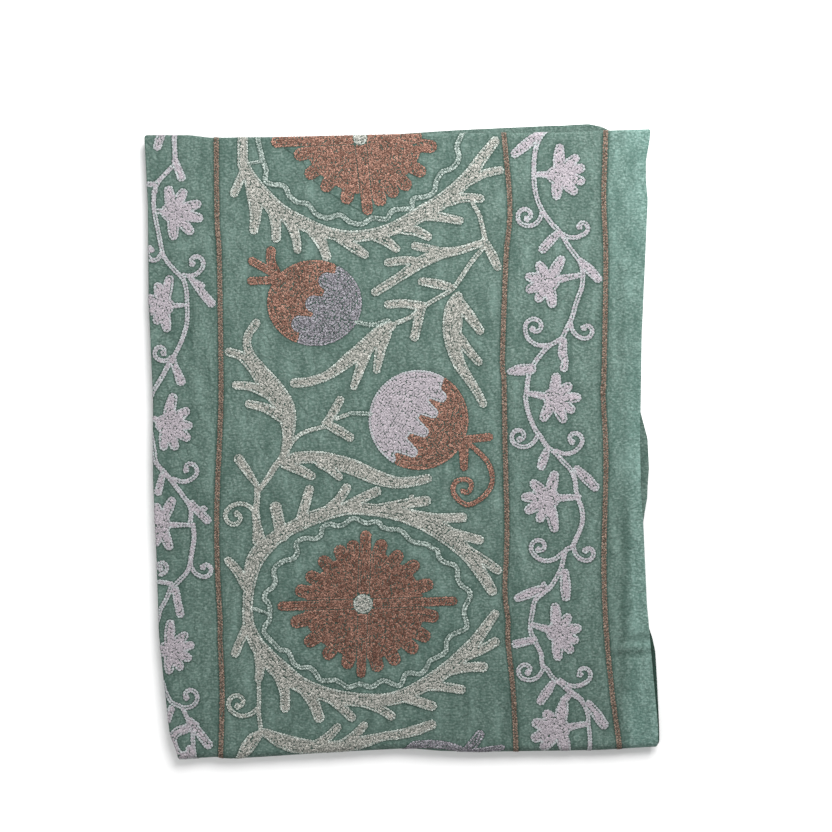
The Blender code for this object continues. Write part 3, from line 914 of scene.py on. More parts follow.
lilac = new_field()
for points in VINE_STROKES:
    draw(lilac, points)
for curl in VINE_SPIRALS:
    draw(lilac, spiral(*curl))
for middle, tips, stalk, petal in FLOWERS:
    flower(lilac, middle, tips, stalk, petal)
print("borders:", len(FLOWERS), "flowers")

# %% [markdown]
# ## Medallions
# A medallion is a ring of brown rays round a cream disc, a few of them narrow and straight. It could be
# worked row by row from its outline, but then the rows would run round it. Here two rays that run together
# stop at the line halfway between them, so their rows run outwards, which is what gives the radial look.

# %% Medallions, charted
LOWER_MEDALLION = {
    "middle": (363, 604), "disc": 9.7,
    "bars": ((457.5, 601, 9), (361, 678, 9.5), (277.5, 606.5, 9.5), (366, 530.5, 11.5)),
    "petals": (
        (439, 617.5), (430, 639), (417, 652.5), (397.5, 665), (378.5, 672), (346, 669), (325, 659),
        (305, 645), (290.5, 623.5), (295, 589.5), (306, 574), (320, 557), (337.5, 545.5), (352, 540),
        (383, 539.5), (401, 551), (418.5, 562), (433, 583)),
}
UPPER_MEDALLION = {
    "middle": (360, 138), "disc": 7,
    "bars": ((271, 142, 11), (368, 215, 11)),
    "petals": (
        (294, 156), (305.5, 177), (323, 191), (345.5, 204), (382, 206), (396, 197), (410, 189), (425.5, 174),
        (437, 147), (433, 122), (294, 122)),
}
print("rays:", [len(m["bars"]) + len(m["petals"]) for m in (LOWER_MEDALLION, UPPER_MEDALLION)])


# %% Rays
def distance(x, y, middle):
    return np.hypot(x - middle[0], y - middle[1])


def ray_depth(x, y, middle, tip, width_in, width_out):
    """Depth inside a ray that runs from the middle to a round end, and widens or narrows on the way."""
    share = 1 - width_out / 2 / math.dist(middle, tip[:2])
    end = [m + (t - m) * share for m, t in zip(middle, tip[:2])]
    run_x, run_y = end[0] - middle[0], end[1] - middle[1]
    run = run_x ** 2 + run_y ** 2
    along = np.clip(((x - middle[0]) * run_x + (y - middle[1]) * run_y) / run, 0, 1)
    off = np.hypot(x - middle[0] - along * run_x, y - middle[1] - along * run_y)
    return (width_in + (width_out - width_in) * along) / 2 - off


print("middle line of a ray 10 px wide:", float(ray_depth(5.0, 0.0, (0, 0), (20, 0), 10, 10)), "px deep")

# %% A medallion from its rays
PETAL_WIDTH_AT_TIP, PETAL_WIDTH = 13, 19.5
CORE_SHARE = 0.81
BAR_CLEARANCE, DISC_CLEARANCE = 0.35, 0.3
LEAST_DEPTH, LEAST_FILLED = 0.6, 0.6
RAY_MARGIN = 12


def medallion(brown_field, cream_field, middle, disc, bars, petals):
    """Petals that stop at the line halfway to the next one, straight bars between them, and a disc."""
    reach = max(math.dist(middle, ray[:2]) for ray in bars + petals) + RAY_MARGIN
    around = sorted((math.atan2(y - middle[1], x - middle[0]), math.dist(middle, (x, y))) for x, y in petals)
    part, x, y = window(middle[0] - reach, middle[1] - reach, middle[0] + reach, middle[1] + reach)
    first, second = np.full(x.shape, OUTSIDE), np.full(x.shape, OUTSIDE)
    for tip in petals:
        depth = ray_depth(x, y, middle, tip, PETAL_WIDTH, PETAL_WIDTH_AT_TIP)
        second = np.maximum(second, np.minimum(first, depth))
        first = np.maximum(first, depth)
    parted = np.maximum((first - second) / 2, LEAST_DEPTH)
    body = np.minimum(first, np.where(second > 0, parted, first))
    # The petals part only near their tips. Inside that, the ground between them is filled.
    angle = np.arctan2(y - middle[1], x - middle[0])
    core = CORE_SHARE * np.interp(angle, *zip(*around), period=2 * math.pi) - distance(x, y, middle)
    first = np.maximum(first, core)
    body = np.maximum(body, np.minimum(core, LEAST_FILLED * ROW_PITCH))
    bar = np.full(x.shape, OUTSIDE)
    for bar_x, bar_y, width in bars:
        bar = np.maximum(bar, ray_depth(x, y, middle, (bar_x, bar_y), width, width))
    from_disc = distance(x, y, middle) - disc
    body = np.maximum(np.minimum(body, -bar - BAR_CLEARANCE), bar)
    brown_depth = np.minimum(body, from_disc - DISC_CLEARANCE)
    brown_field[part] = np.maximum(brown_field[part], brown_depth / ROW_PITCH)
    cream_field[part] = np.maximum(cream_field[part], -from_disc / ROW_PITCH)
    outline = np.maximum(np.maximum(first, bar), -from_disc)
    depth_everywhere[part] = np.maximum(depth_everywhere[part], outline)


brown = new_field()
disc_cream = new_field()
for drawn in (LOWER_MEDALLION, UPPER_MEDALLION):
    medallion(brown, disc_cream, **drawn)
print("medallions cover", int((brown > 0).sum() * (GRID_STEP * PIXEL) ** 2 * 1e4), "square cm")

# %% [markdown]
# ## Wavy rings
# A fine wavy line of mint wool rings each medallion, with a short tie to the wreath. It could be a circle
# with a regular wave, but the worked line is uneven, so its places are charted one by one. The stalks of
# the two fruit are worked in the same wool.

# %% Wavy rings round the medallions
UPPER_RING = (
    (255, 120), (258, 140), (262, 158), (266, 170), (265, 180), (271, 184), (284, 186), (289, 195),
    (297, 202), (308, 204), (316, 214), (327, 218), (340, 215), (350, 222), (362, 224), (372, 218),
    (386, 219), (392, 211), (402, 209), (412, 208), (413, 199), (428, 196), (435, 190), (436, 182),
    (442, 172), (452, 168), (459, 158), (457, 146), (461, 136), (468, 122),
)
LOWER_RING = (
    (382.5, 527.5), (377.5, 522), (365, 523), (357.5, 519), (351, 519), (345, 524), (337.5, 526),
    (329, 524), (322.5, 527.5), (321, 535), (315, 539), (307.5, 538), (300, 540), (296, 545),
    (297.5, 552.5), (292.5, 559), (284, 561), (275, 567.5), (274, 575), (275.6, 581), (272.5, 587.5),
    (266, 592.5), (264.4, 599), (269, 604), (270, 614), (269, 621), (265, 626), (264, 632.5), (269, 639),
    (275, 645), (280, 650), (287.5, 651), (291, 657.5), (294, 664), (300, 667.5), (310, 668), (316, 674),
    (320, 680), (327.5, 681), (335, 680), (342.5, 684), (347.5, 687.5), (354, 686), (360, 684), (366, 686),
    (372.5, 687), (379, 682.5), (385, 680.6), (395, 685), (401, 685), (405, 675), (411, 673), (420, 674),
    (426, 669), (430, 661), (440, 656), (446, 651), (447, 640), (454, 634), (462.5, 630.6), (467, 627),
    (465.6, 619), (464, 612), (466, 605), (470, 597.5), (469, 591), (461, 585), (457.5, 577.5),
    (457.5, 570), (454, 565), (445, 562.5), (439, 557.5), (437.5, 551), (431, 547.5), (426, 544),
    (417.5, 543), (410, 540), (405, 534), (399, 530), (390, 529.4), (382.5, 527.5),
)


def one_width(points, width):
    """The same width at every place of a line."""
    return [(*point, width) for point in points]


mint = new_field()
UPPER_RING_WIDTH, LOWER_RING_WIDTH = 6, 5.8
draw(mint, one_width(UPPER_RING, UPPER_RING_WIDTH))
draw(mint, one_width(LOWER_RING, LOWER_RING_WIDTH))
draw(mint, ((250, 163, 3.4), (262, 161, 3.4)))
draw(mint, ((255, 609, 4.6), (258, 610, 3.5), (268, 614, 3.5)))
# the stalks of the two fruit
draw(mint, ((357, 322, 5), (372, 325, 5), (388, 320, 5)))
draw(mint, ((350, 413, 5), (370, 414, 5)))
print("rings:", len(UPPER_RING), "and", len(LOWER_RING), "places")

# %% [markdown]
# ## Fruit
# Each fruit is a disc worked in two yarns that meet in a scalloped line, with a crown at one end. Two
# separate shapes would leave a gap or an overlap along that line. So there is one disc and one line across
# it: what lies on one side is one yarn and the rest is the other, and they always meet.

# %% Fruit, charted
PLAIN_FRUIT = {
    "middle": (314.5, 303), "half": (47.5, 43),
    # The grey side: a line down the disc, and the scallops that reach past it.
    "line": ((338, 262), (334, 275), (322.5, 295), (311.5, 317), (300, 333), (296, 346)),
    "scallops": ((318.5, 279), (305.5, 302), (291.5, 322)), "toward": (24, 6), "scallop_width": (17, 22),
}
LILAC_FRUIT = {
    "middle": (418.5, 420), "half": (50, 50),
    "line": ((446, 372), (441, 388), (428, 401), (420, 415.5), (409.5, 435), (396.5, 452), (387, 466)),
    "scallops": ((446, 400), (437.5, 416), (428, 435), (417, 455), (395, 462)), "toward": (-20, -13),
    "scallop_width": (11, 21),
}
BROWN_STROKES = (
    # crown of the plain fruit
    ((279, 280, 12), (271, 262, 10), (271, 251, 10)), ((275, 274, 8), (252, 261, 8)),
    ((277, 280, 8), (251, 281, 8)),
    # crown and curl of the lilac fruit
    ((460.7, 440, 8), (489, 437, 8)), ((463.5, 444, 11), (464, 467, 8)),
    ((462, 438, 8), (469, 444, 6), (483.5, 457), (490.7, 468.6), (492, 483), (486, 494), (477.5, 501),
     (467.5, 505), (458.7, 500), (453, 491), (455, 482.5), (462.5, 479.4), (470, 481), (471, 487.5),
     (467.5, 492.5), (462.5, 491, 5.8)),
)
print("scallops:", len(PLAIN_FRUIT["scallops"]), "and", len(LILAC_FRUIT["scallops"]))

# %% A disc in two yarns
DISC_MARGIN = 4
HEIGHTS = np.arange(600)


def disc_depth(middle, half):
    """The window round a disc, its places, and how deep each is inside it."""
    (x, y), (half_x, half_y) = middle, half
    half_x, half_y = half_x + DISC_MARGIN, half_y + DISC_MARGIN
    part, x, y = window(x - half_x, y - half_y, x + half_x, y + half_y)
    scaled = np.hypot((x - middle[0]) / half[0], (y - middle[1]) / half[1])
    return part, x, y, (1 - scaled) * sum(half) / 2


def side_depth(x, y, line):
    """How far each place lies to the right of a line that runs down the chart, by its nearest stretch."""
    down = np.array(line, float)
    middle_x = np.interp(y, down[:, 1], down[:, 0])
    slope = np.gradient(np.interp(HEIGHTS, down[:, 1], down[:, 0]))
    lean = np.interp(y, HEIGHTS, slope)
    return (x - middle_x) / np.sqrt(1 + lean**2)


def scalloped_fruit(right, left, middle, half, line, scallops, toward, scallop_width, scallops_left):
    """A disc in two yarns. The scallops belong to the right yarn when they point left."""
    part, x, y, disc = disc_depth(middle, half)
    to_right = side_depth(x, y, line)
    own_side = to_right if scallops_left else -to_right
    at_tip, at_base = scallop_width
    for tip in scallops:
        base = (tip[0] + toward[0], tip[1] + toward[1])
        own_side = np.maximum(own_side, ray_depth(x, y, base, tip, at_base, at_tip))
    own, other = (right, left) if scallops_left else (left, right)
    own[part] = np.maximum(own[part], np.minimum(disc, own_side) / ROW_PITCH)
    other[part] = np.maximum(other[part], np.minimum(disc, -own_side) / ROW_PITCH)
    depth_everywhere[part] = np.maximum(depth_everywhere[part], disc)


grey = new_field()
scalloped_fruit(grey, brown, **PLAIN_FRUIT, scallops_left=True)
scalloped_fruit(brown, lilac, **LILAC_FRUIT, scallops_left=False)
for points in BROWN_STROKES:
    draw(brown, points)
print("fruit worked, with", len(BROWN_STROKES), "strokes for their crowns")

# %% The motif cut off by the near fold
GREY_STROKES = (
    ((405, 756, 8), (409, 750, 8), (417, 745), (442, 745), (461, 751), (468, 760, 8)),
    ((466, 754, 12), (480, 735, 10)), ((468, 754, 8), (502, 748, 6)),
)
for points in GREY_STROKES:
    draw(grey, points)
print("strokes of the cut motif:", len(GREY_STROKES))

# %% [markdown]
# ## Stripes
# Three narrow stripes of brown chain stitch run the length of the cloth and part the borders from the
# field. Each is two rows side by side. Straight lines would do for new cloth, but these wander a few
# millimetres, so some places of each are charted and the smooth line through them is the stripe.

# %% Stripes
STRIPES = (
    ((216, 110), (216, 137), (217, 220), (219, 250), (220, 300), (221, 390), (219.5, 440), (217, 500),
     (217, 560), (220, 620), (220, 640), (222, 690), (220.5, 755), (220, 785)),
    ((504, 110), (504, 133), (510, 206), (506, 260), (502.5, 359), (504, 380), (505, 440), (507, 530),
     (505, 590), (508, 620), (508, 640), (513, 690), (516, 745), (517, 785)),
    ((606, 110), (606, 130), (604, 200), (606, 260), (604, 380), (603, 390), (606, 460), (604, 560),
     (606, 625), (612, 690), (620, 750), (622, 785)),
)
STRIPE_WIDTH = 6
stripes = new_field()
for points in STRIPES:
    draw(stripes, one_width(points, STRIPE_WIDTH))
print("stripes:", len(STRIPES))

# %% [markdown]
# ## From heights to rows
# Marching squares walks the grid cell by cell and joins the places where the field crosses a height.
# Cutting a raised mesh with level planes would give the same lines, but a grid of numbers needs no mesh.
# Each closed line is then stepped along at the length of a stitch. A yarn that lies under another gives way
# to it.

# %% Lines at one height
# For each pattern of corners inside, from the top left round: the sides that the line enters and leaves by.
TOP, RIGHT, BOTTOM, LEFT = range(4)
CROSSINGS = {
    1: ((LEFT, TOP),), 2: ((TOP, RIGHT),), 4: ((RIGHT, BOTTOM),), 8: ((BOTTOM, LEFT),),
    3: ((LEFT, RIGHT),), 6: ((TOP, BOTTOM),), 12: ((RIGHT, LEFT),), 9: ((BOTTOM, TOP),),
    7: ((LEFT, BOTTOM),), 14: ((TOP, LEFT),), 13: ((RIGHT, TOP),), 11: ((BOTTOM, RIGHT),),
    5: ((LEFT, TOP), (RIGHT, BOTTOM)), 10: ((TOP, RIGHT), (BOTTOM, LEFT)),
}


def height_lines(field, height):
    """The closed lines where the field crosses a height, as places of the chart."""
    inside = field > height
    case = inside[:-1, :-1] + 2 * inside[:-1, 1:] + 4 * inside[1:, 1:] + 8 * inside[1:, :-1]
    following = {}
    for pattern, pairs in CROSSINGS.items():
        r, c = np.nonzero(case == pattern)
        corner = r * GRID_COLUMNS + c
        below = corner + GRID_COLUMNS
        side = {TOP: 2 * corner, BOTTOM: 2 * below, LEFT: 2 * corner + 1, RIGHT: 2 * corner + 3}
        for enters, leaves in pairs:
            following.update(zip(side[enters].tolist(), side[leaves].tolist()))
    lines = []
    while following:
        first, here = following.popitem()
        sides = [first]
        while here != first and here in following:
            sides.append(here)
            here = following.pop(here)
        sides = np.array(sides)
        corner, upright = sides // 2, sides % 2
        r, c = corner // GRID_COLUMNS, corner % GRID_COLUMNS
        here_value, next_value = field[r, c], field[r + upright, c + 1 - upright]
        share = (height - here_value) / (next_value - here_value)
        x = c + np.where(upright, 0, share)
        y = r + np.where(upright, share, 0)
        lines.append(np.stack([GRID_LEFT + GRID_STEP * x, GRID_TOP + GRID_STEP * y], axis=1))
    return lines


print("outlines in mint wool:", len(height_lines(mint, 0.0)))

# %% Steps along a line
STITCH_PITCH = 3.0
LOOK_ALONG = 0.8


def stepped(line, pitch):
    """Places at an even pitch along a closed line, with the line's direction at each."""
    closed = np.vstack([line, line[:1]])
    lengths = np.concatenate([[0], np.cumsum(np.hypot(*np.diff(closed, axis=0).T))])
    count = max(1, round(lengths[-1] / pitch))
    at = (np.arange(count) + 0.5) / count * lengths[-1]
    place = np.stack([np.interp(at, lengths, closed[:, axis]) for axis in (0, 1)], axis=1)
    ahead, behind = (at + LOOK_ALONG) % lengths[-1], (at - LOOK_ALONG) % lengths[-1]
    toward = np.stack([
        np.interp(ahead, lengths, closed[:, axis]) - np.interp(behind, lengths, closed[:, axis])
        for axis in (0, 1)], axis=1)
    return place, np.arctan2(toward[:, 1], toward[:, 0])


square = np.array([(0, 0), (30, 0), (30, 30), (0, 30)], float)
print("a line 120 px long takes", len(stepped(square, STITCH_PITCH)[0]), "stitches")

# %% What is covered already
CLOSEST = 1.6


class Cover:
    """Remembers which places of the grid already have a stitch close by."""

    def __init__(self):
        self.taken = np.zeros((GRID_ROWS, GRID_COLUMNS), bool)
        self.size = math.ceil(CLOSEST / GRID_STEP)
        steps = np.arange(-self.size, self.size + 1) * GRID_STEP
        self.stamp = np.hypot(*np.meshgrid(steps, steps)) < CLOSEST

    def add(self, r, c):
        """True where the place was free, and takes it."""
        n = self.size
        if self.taken[r, c] or not (n <= r < GRID_ROWS - n and n <= c < GRID_COLUMNS - n):
            return False
        self.taken[r - n:r + n + 1, c - n:c + n + 1] |= self.stamp
        return True


def grid_place(places):
    c = np.clip(np.rint((places[:, 0] - GRID_LEFT) / GRID_STEP).astype(int), 0, GRID_COLUMNS - 1)
    r = np.clip(np.rint((places[:, 1] - GRID_TOP) / GRID_STEP).astype(int), 0, GRID_ROWS - 1)
    return r, c


def sample(field, places):
    return field[grid_place(places)]


print("no two stitches of a yarn lie closer than", CLOSEST, "px")

# %% The stitches of one yarn
FIRST_ROW = 0.5
FILL_FROM = 0.42
HIDDEN_FROM = 0.05
chance = np.random.default_rng(11)


def stitches_of(field, over=()):
    """Place, direction and looseness of each stitch of a yarn. The yarns in over cover it."""
    places, turns, loose, cover = [], [], [], Cover()
    height = FIRST_ROW
    while height < field.max():
        for line in height_lines(field, height):
            place, turn = stepped(line, STITCH_PITCH)
            free = np.array([cover.add(r, c) for r, c in zip(*grid_place(place))], bool)
            places.append(place[free])
            turns.append(turn[free])
            loose.append(np.full(free.sum(), 0.0 if height == FIRST_ROW else 1.0))
        height += 1.0
    # What the rows leave bare, where they meet or run out, is filled with single stitches.
    r, c = np.nonzero((field > FILL_FROM) & ~cover.taken)
    order = chance.permutation(len(r))
    filled = np.array([i for i in order if cover.add(r[i], c[i])], int)
    down, right = np.gradient(field)
    r, c = r[filled], c[filled]
    places.append(np.stack([GRID_LEFT + GRID_STEP * c, GRID_TOP + GRID_STEP * r], axis=1))
    turns.append(np.arctan2(down[r, c], right[r, c]) + math.pi / 2)
    loose.append(np.ones(len(filled)))
    places, turns, loose = np.vstack(places), np.concatenate(turns), np.concatenate(loose)
    keep = np.ones(len(places), bool)
    for other in over:
        keep &= sample(other, places) < HIDDEN_FROM
    return places[keep], turns[keep], loose[keep]


print("single stitches fill what the rows leave bare, from", FILL_FROM, "of a row inside the outline")

# %% Chart every yarn
YARNS = {
    "cream_leaf_embroidery": (cream, (brown, mint)),
    "cream_discs": (disc_cream, ()),
    "lilac_embroidery": (lilac, ()),
    "brown_embroidery": (brown, ()),
    "brown_stripes": (stripes, (cream, lilac)),
    "mint_rings": (mint, (brown,)),
    "grey_embroidery": (grey, (brown, lilac, cream)),
}
charted = {name: stitches_of(field, over) for name, (field, over) in YARNS.items()}
for name, (places, _, loose) in charted.items():
    print(name, len(places), "stitches,", int((loose == 0).sum()), "of them on an outline")

# %% [markdown]
# ## Shade beside the stitching
# Next to dense stitching the cotton sinks, so it lies a little in shade over the last centimetre or so.
# That shade could be baked into an image, but the sheet's points are close enough together to carry it:
# each takes a share of the darker tone by how near it lies to a shape. Points well under the yarn are
# darker still, as little light comes in between the stitches.

# %% Shade beside the stitching
SHADE_REACH = 7.0
SHADE_DEPTH = 0.5
UNDER_YARN_SHADE, UNDER_YARN_FROM, UNDER_YARN_REACH = 0.4, 1, 3
CREASE_SHADE = 0.5


def shade_beside(flat):
    px, py = flat[:, 0] / PIXEL + CHART_MIDDLE[0], CHART_MIDDLE[1] - flat[:, 1] / PIXEL
    charted_part = (px > GRID_LEFT) & (py > GRID_TOP) & (py < GRID_TOP + GRID_STEP * GRID_ROWS)
    depth = np.where(charted_part, sample(depth_everywhere, np.stack([px, py], axis=1)), OUTSIDE)
    beside = SHADE_DEPTH * np.clip(1 + depth / SHADE_REACH, 0, 1) ** 2
    return beside + UNDER_YARN_SHADE * np.clip((depth - UNDER_YARN_FROM) / UNDER_YARN_REACH, 0, 1)


def creased(flat):
    """The creases as a share of the dark tone: light hardly reaches into them."""
    x, y = flat.T
    return CREASE_SHADE * np.clip((relief(x, y, ()) - relief(x, y, FINE_CREASES)) / MM, 0, 1)


print("shade in the deepest crease:", round(float(creased(flat_of_point).max()), 2))

# %% Shade the sheet
EDGE_FROM = 0.9
# How much darker the edge of the lower ply is, at heights up the cloth in metres.
LOWER_PLY_SHADE = ((-0.22, 1.25), (-0.15, 0.25))
on_top_panel = np.array([leg == "top_panel" for leg, _ in rows])[row_of]
under_the_edge = on_top_panel & (columns[0][column_of] == LOWER) & (columns[1][column_of] > EDGE_FROM)
lower_ply_shade = under_the_edge * read(np.array(LOWER_PLY_SHADE), flat_of_point[:, 1])
# The sheet's painted shade: beside the stitching, under the yarn, in the creases and at the lower ply's
# edge.
shade = np.minimum(shade_beside(flat_of_point) + creased(flat_of_point) + lower_ply_shade, MOST_SHADE)
cloth_mesh.attributes["painted_shade"].data.foreach_set("value", shade.astype(np.float32))
print("shaded the ground within", round(SHADE_REACH * PIXEL / MM, 1), "mm of the stitching")

# %% [markdown]
# ## One chain stitch
# A chain stitch is a loop of yarn held down by the next one: a small drop with a hollow in its middle. It
# is made once, from a circle that is extruded, narrowed and given a hollow with inset, then squeezed at one
# end. Thousands of copies go into one mesh per yarn, worked out as arrays, because an object for each would
# be slow.

# %% One chain stitch
STITCH_LENGTH, STITCH_WIDTH = 3.8 * MM, 3.4 * MM
STITCH_SUNK, STITCH_HIGH = 0.2 * MM, 0.62 * MM
STITCH_SIDES = 6
CREST_WIDTH = 0.84
HOLLOW_INSET, HOLLOW_DEPTH = 0.25, 0.4
SQUEEZE = 0.32


def one_stitch():
    """Points with x along the stitch, y across it and z up from 0 to 1, and the faces between them."""
    loop = bmesh.new()
    bmesh.ops.create_circle(loop, cap_ends=True, segments=STITCH_SIDES, radius=0.5)
    raised = bmesh.ops.extrude_face_region(loop, geom=loop.faces, use_keep_orig=True)["geom"]
    crest = [g for g in raised if isinstance(g, bmesh.types.BMVert)]
    top = [g for g in raised if isinstance(g, bmesh.types.BMFace)]
    bmesh.ops.translate(loop, vec=(0, 0, 1), verts=crest)
    bmesh.ops.scale(loop, vec=(CREST_WIDTH, CREST_WIDTH, 1), verts=crest)
    bmesh.ops.inset_individual(loop, faces=top, thickness=HOLLOW_INSET, depth=-HOLLOW_DEPTH)
    bmesh.ops.recalc_face_normals(loop, faces=loop.faces)
    bmesh.ops.triangulate(loop, faces=[f for f in loop.faces if len(f.verts) > 4])
    for vertex in loop.verts:
        vertex.co.y *= 1.0 - SQUEEZE * (vertex.co.x + 0.5)
    loop.verts.ensure_lookup_table()
    points = np.array([v.co for v in loop.verts])
    faces = [[v.index for v in f.verts] for f in loop.faces]
    loop.free()
    return points, faces


stitch_points, stitch_faces = one_stitch()
# How dark a point is: not at all on the crest, fully in the hollow and partly at the foot.
is_crest, is_foot = stitch_points[:, 2] > 0.9, stitch_points[:, 2] < 0.1
point_depth = np.where(is_crest, 0.0, np.where(is_foot, 0.6, 1.0))
print("one stitch:", len(stitch_points), "points,", len(stitch_faces), "faces")

# %% [markdown]
# ## Wool
# The wool is matt, with a soft twist. Each stitch catches the light a little differently, so each carries a
# tone of its own, and the hollow of the loop and its foot are darker, where light hardly comes in. Its
# fibres could be modelled as hair, but at this size fine noise in the colour and the bump is enough.

# %% Wool materials
FUZZ_SCALE, GRAIN_SCALE = 1400, 720
WOOL_LAYERS = (
    # pattern, its values from and to, the tone's share at each of them, tone
    ("grain", 0.42, 0.57, 0, 0.9, "deep"),
    ("fuzz", 0.3, 0.7, 0, 0.25, "dark"),
    ("hollow", 0.3, 1, 0, 0.6, "deep"),
)


def wool(name, light, at_outline, dark, deep):
    """Yarn in three tones. The outline row is worked in a slightly different light tone."""
    n = Nodes(name, roughness=0.9, sheen=0.04)
    place = n.add("TexCoord").outputs["Object"]
    pattern = {"fuzz": n.noise(place, FUZZ_SCALE, detail=2.0)}
    pattern["grain"] = n.noise(place, GRAIN_SCALE, detail=1.0)
    pattern["hollow"] = n.attribute("hollow")
    tones = {"dark": paint(*dark), "deep": paint(*deep)}
    lit = n.mix(n.attribute("outline"), paint(*light), paint(*at_outline))
    body = n.mix(n.attribute("tone"), tones["dark"], lit)
    for layer, low, high, start, end, tone in WOOL_LAYERS:
        body = n.mix(n.spread(pattern[layer], low, high, start, end), body, tones[tone])
    return n.finish(body, n.bump(pattern["fuzz"], 0.0004, 0.6))


print("wool:", len(WOOL_LAYERS), "layers")

# %% The six wools and the stripes' own
WOOL_TONES = {
    # yarn: light, light on the outline, dark, deep; a fourth number makes a light tone stronger or weaker
    "brown_yarn": ((244, 190, 168, 1.2), (250, 192, 170, 1.15), (126, 89, 75), (80, 58, 49)),
    "stripe_yarn": ((214, 186, 168), (214, 186, 168), (108, 93, 80), (72, 61, 51)),
    "cream_yarn": ((255, 250, 242, 1.2), (246, 255, 248, 1.25), (148, 152, 144), (120, 125, 117)),
    "lilac_yarn": ((255, 243, 250, 0.93), (236, 252, 250, 0.93), (184, 177, 183), (163, 157, 164)),
    "mint_yarn": ((240, 252, 245, 1.25), (240, 252, 245, 1.25), (134, 156, 147), (88, 105, 98)),
    "grey_yarn": ((240, 236, 246, 1.05), (240, 236, 246, 1.05), (130, 127, 134), (86, 85, 91)),
}
WOOLS = {name: wool(name, *tones) for name, tones in WOOL_TONES.items()}
print("wools:", list(WOOLS))

# %% [markdown]
# ## Working the embroidery
# Embroidery is worked stitch by stitch, and no two come out alike. Each stitch here has its own small
# shift, turn, size, height and tone. It varies less on an outline, where a maker takes more care. An object
# for each stitch would be slow, so the stitches of a piece are worked out as arrays and become one mesh. A
# yarn that covers much of the cloth is cut into pieces that stay small enough to handle.

# %% How much stitches vary
PLACE_VARIES = 0.3 * MM
TURN_VARIES = 22
SIZE_VARIES = 0.09
OUTLINE_FREEDOM = 0.3
HEIGHT_FROM, HEIGHT_TO = 0.7, 1.15
TONE_FROM, TONE_TO = 0.3, 0.9
OUTLINE_LIGHTER = 0.15
FURTHEST_ROUND_FOLD = 0.93 * math.pi


def varied(places, turns, loose, darkened, fullness):
    """Each stitch's own place, turn, size, height and tone."""
    count = len(places)
    x, y = from_chart(places[:, 0], places[:, 1])
    freedom = OUTLINE_FREEDOM + (1 - OUTLINE_FREEDOM) * loose
    x = x + chance.normal(0, PLACE_VARIES, count) * freedom
    y = y + chance.normal(0, PLACE_VARIES, count) * freedom
    turn = -turns + np.radians(chance.normal(0, TURN_VARIES, count)) * freedom
    size = chance.normal(fullness, SIZE_VARIES, (count, 2))
    tall = STITCH_HIGH * chance.uniform(HEIGHT_FROM, HEIGHT_TO, count)
    tone = chance.uniform(TONE_FROM, TONE_TO, count) + OUTLINE_LIGHTER * (1 - loose) - darkened
    return x, y, turn, size, tall, np.clip(tone, 0, 1)


print("a stitch inside a shape turns by about", TURN_VARIES, "degrees")


# %% Lay the stitches
def laid_stitches(x, y, turn, size, tall):
    """Every point of every stitch on the folded cloth, and which stitches stay in sight."""
    along = stitch_points[None, :, 0] * STITCH_LENGTH * size[:, :1]
    across = stitch_points[None, :, 1] * STITCH_WIDTH * size[:, 1:]
    cos, sin = np.cos(turn)[:, None], np.sin(turn)[:, None]
    stand = TOP_FACE - STITCH_SUNK + stitch_points[None, :, 2] * (tall + STITCH_SUNK)[:, None]
    flat_x = x[:, None] + along * cos - across * sin
    flat_y = y[:, None] + along * sin + across * cos
    laid, turned = laid_on_cloth(flat_x, flat_y, stand)
    return laid, turned.max(axis=1) < FURTHEST_ROUND_FOLD


print("stitches stay on the cloth for", round(math.degrees(FURTHEST_ROUND_FOLD)), "degrees round a fold")


# %% Work a piece
FACE_SIZES = np.array([len(f) for f in stitch_faces])
FACE_CORNERS = np.concatenate(stitch_faces)


def worked(name, places, turns, loose, finish, darkened, fullness):
    """All the stitches of one piece as one mesh, laid on the cloth."""
    *own, tone = varied(places, turns, loose, darkened, fullness)
    laid, keep = laid_stitches(*own)
    laid, tone, outline = laid[keep], tone[keep], 1 - loose[keep]
    kept = len(laid)
    corners = (FACE_CORNERS[None, :] + len(stitch_points) * np.arange(kept)[:, None]).ravel()
    starts = np.concatenate([[0], np.cumsum(np.tile(FACE_SIZES, kept))[:-1]])
    mesh = bpy.data.meshes.new(name)
    mesh.vertices.add(kept * len(stitch_points))
    mesh.vertices.foreach_set("co", laid.astype(np.float32).ravel())
    mesh.loops.add(len(corners))
    mesh.loops.foreach_set("vertex_index", corners.astype(np.int32))
    mesh.polygons.add(kept * len(FACE_SIZES))
    mesh.polygons.foreach_set("loop_start", starts.astype(np.int32))
    mesh.update(calc_edges=True)
    mesh.validate()
    mesh.shade_smooth()
    set_attribute(mesh, "tone", np.repeat(tone, len(stitch_points)))
    set_attribute(mesh, "outline", np.repeat(outline, len(stitch_points)))
    set_attribute(mesh, "hollow", np.tile(point_depth, kept))
    new_piece(name, mesh, WOOLS[finish])
    print(name, kept, "stitches,", kept * int((FACE_SIZES - 2).sum()), "triangles")


print("a stitch has", int((FACE_SIZES - 2).sum()), "triangles")

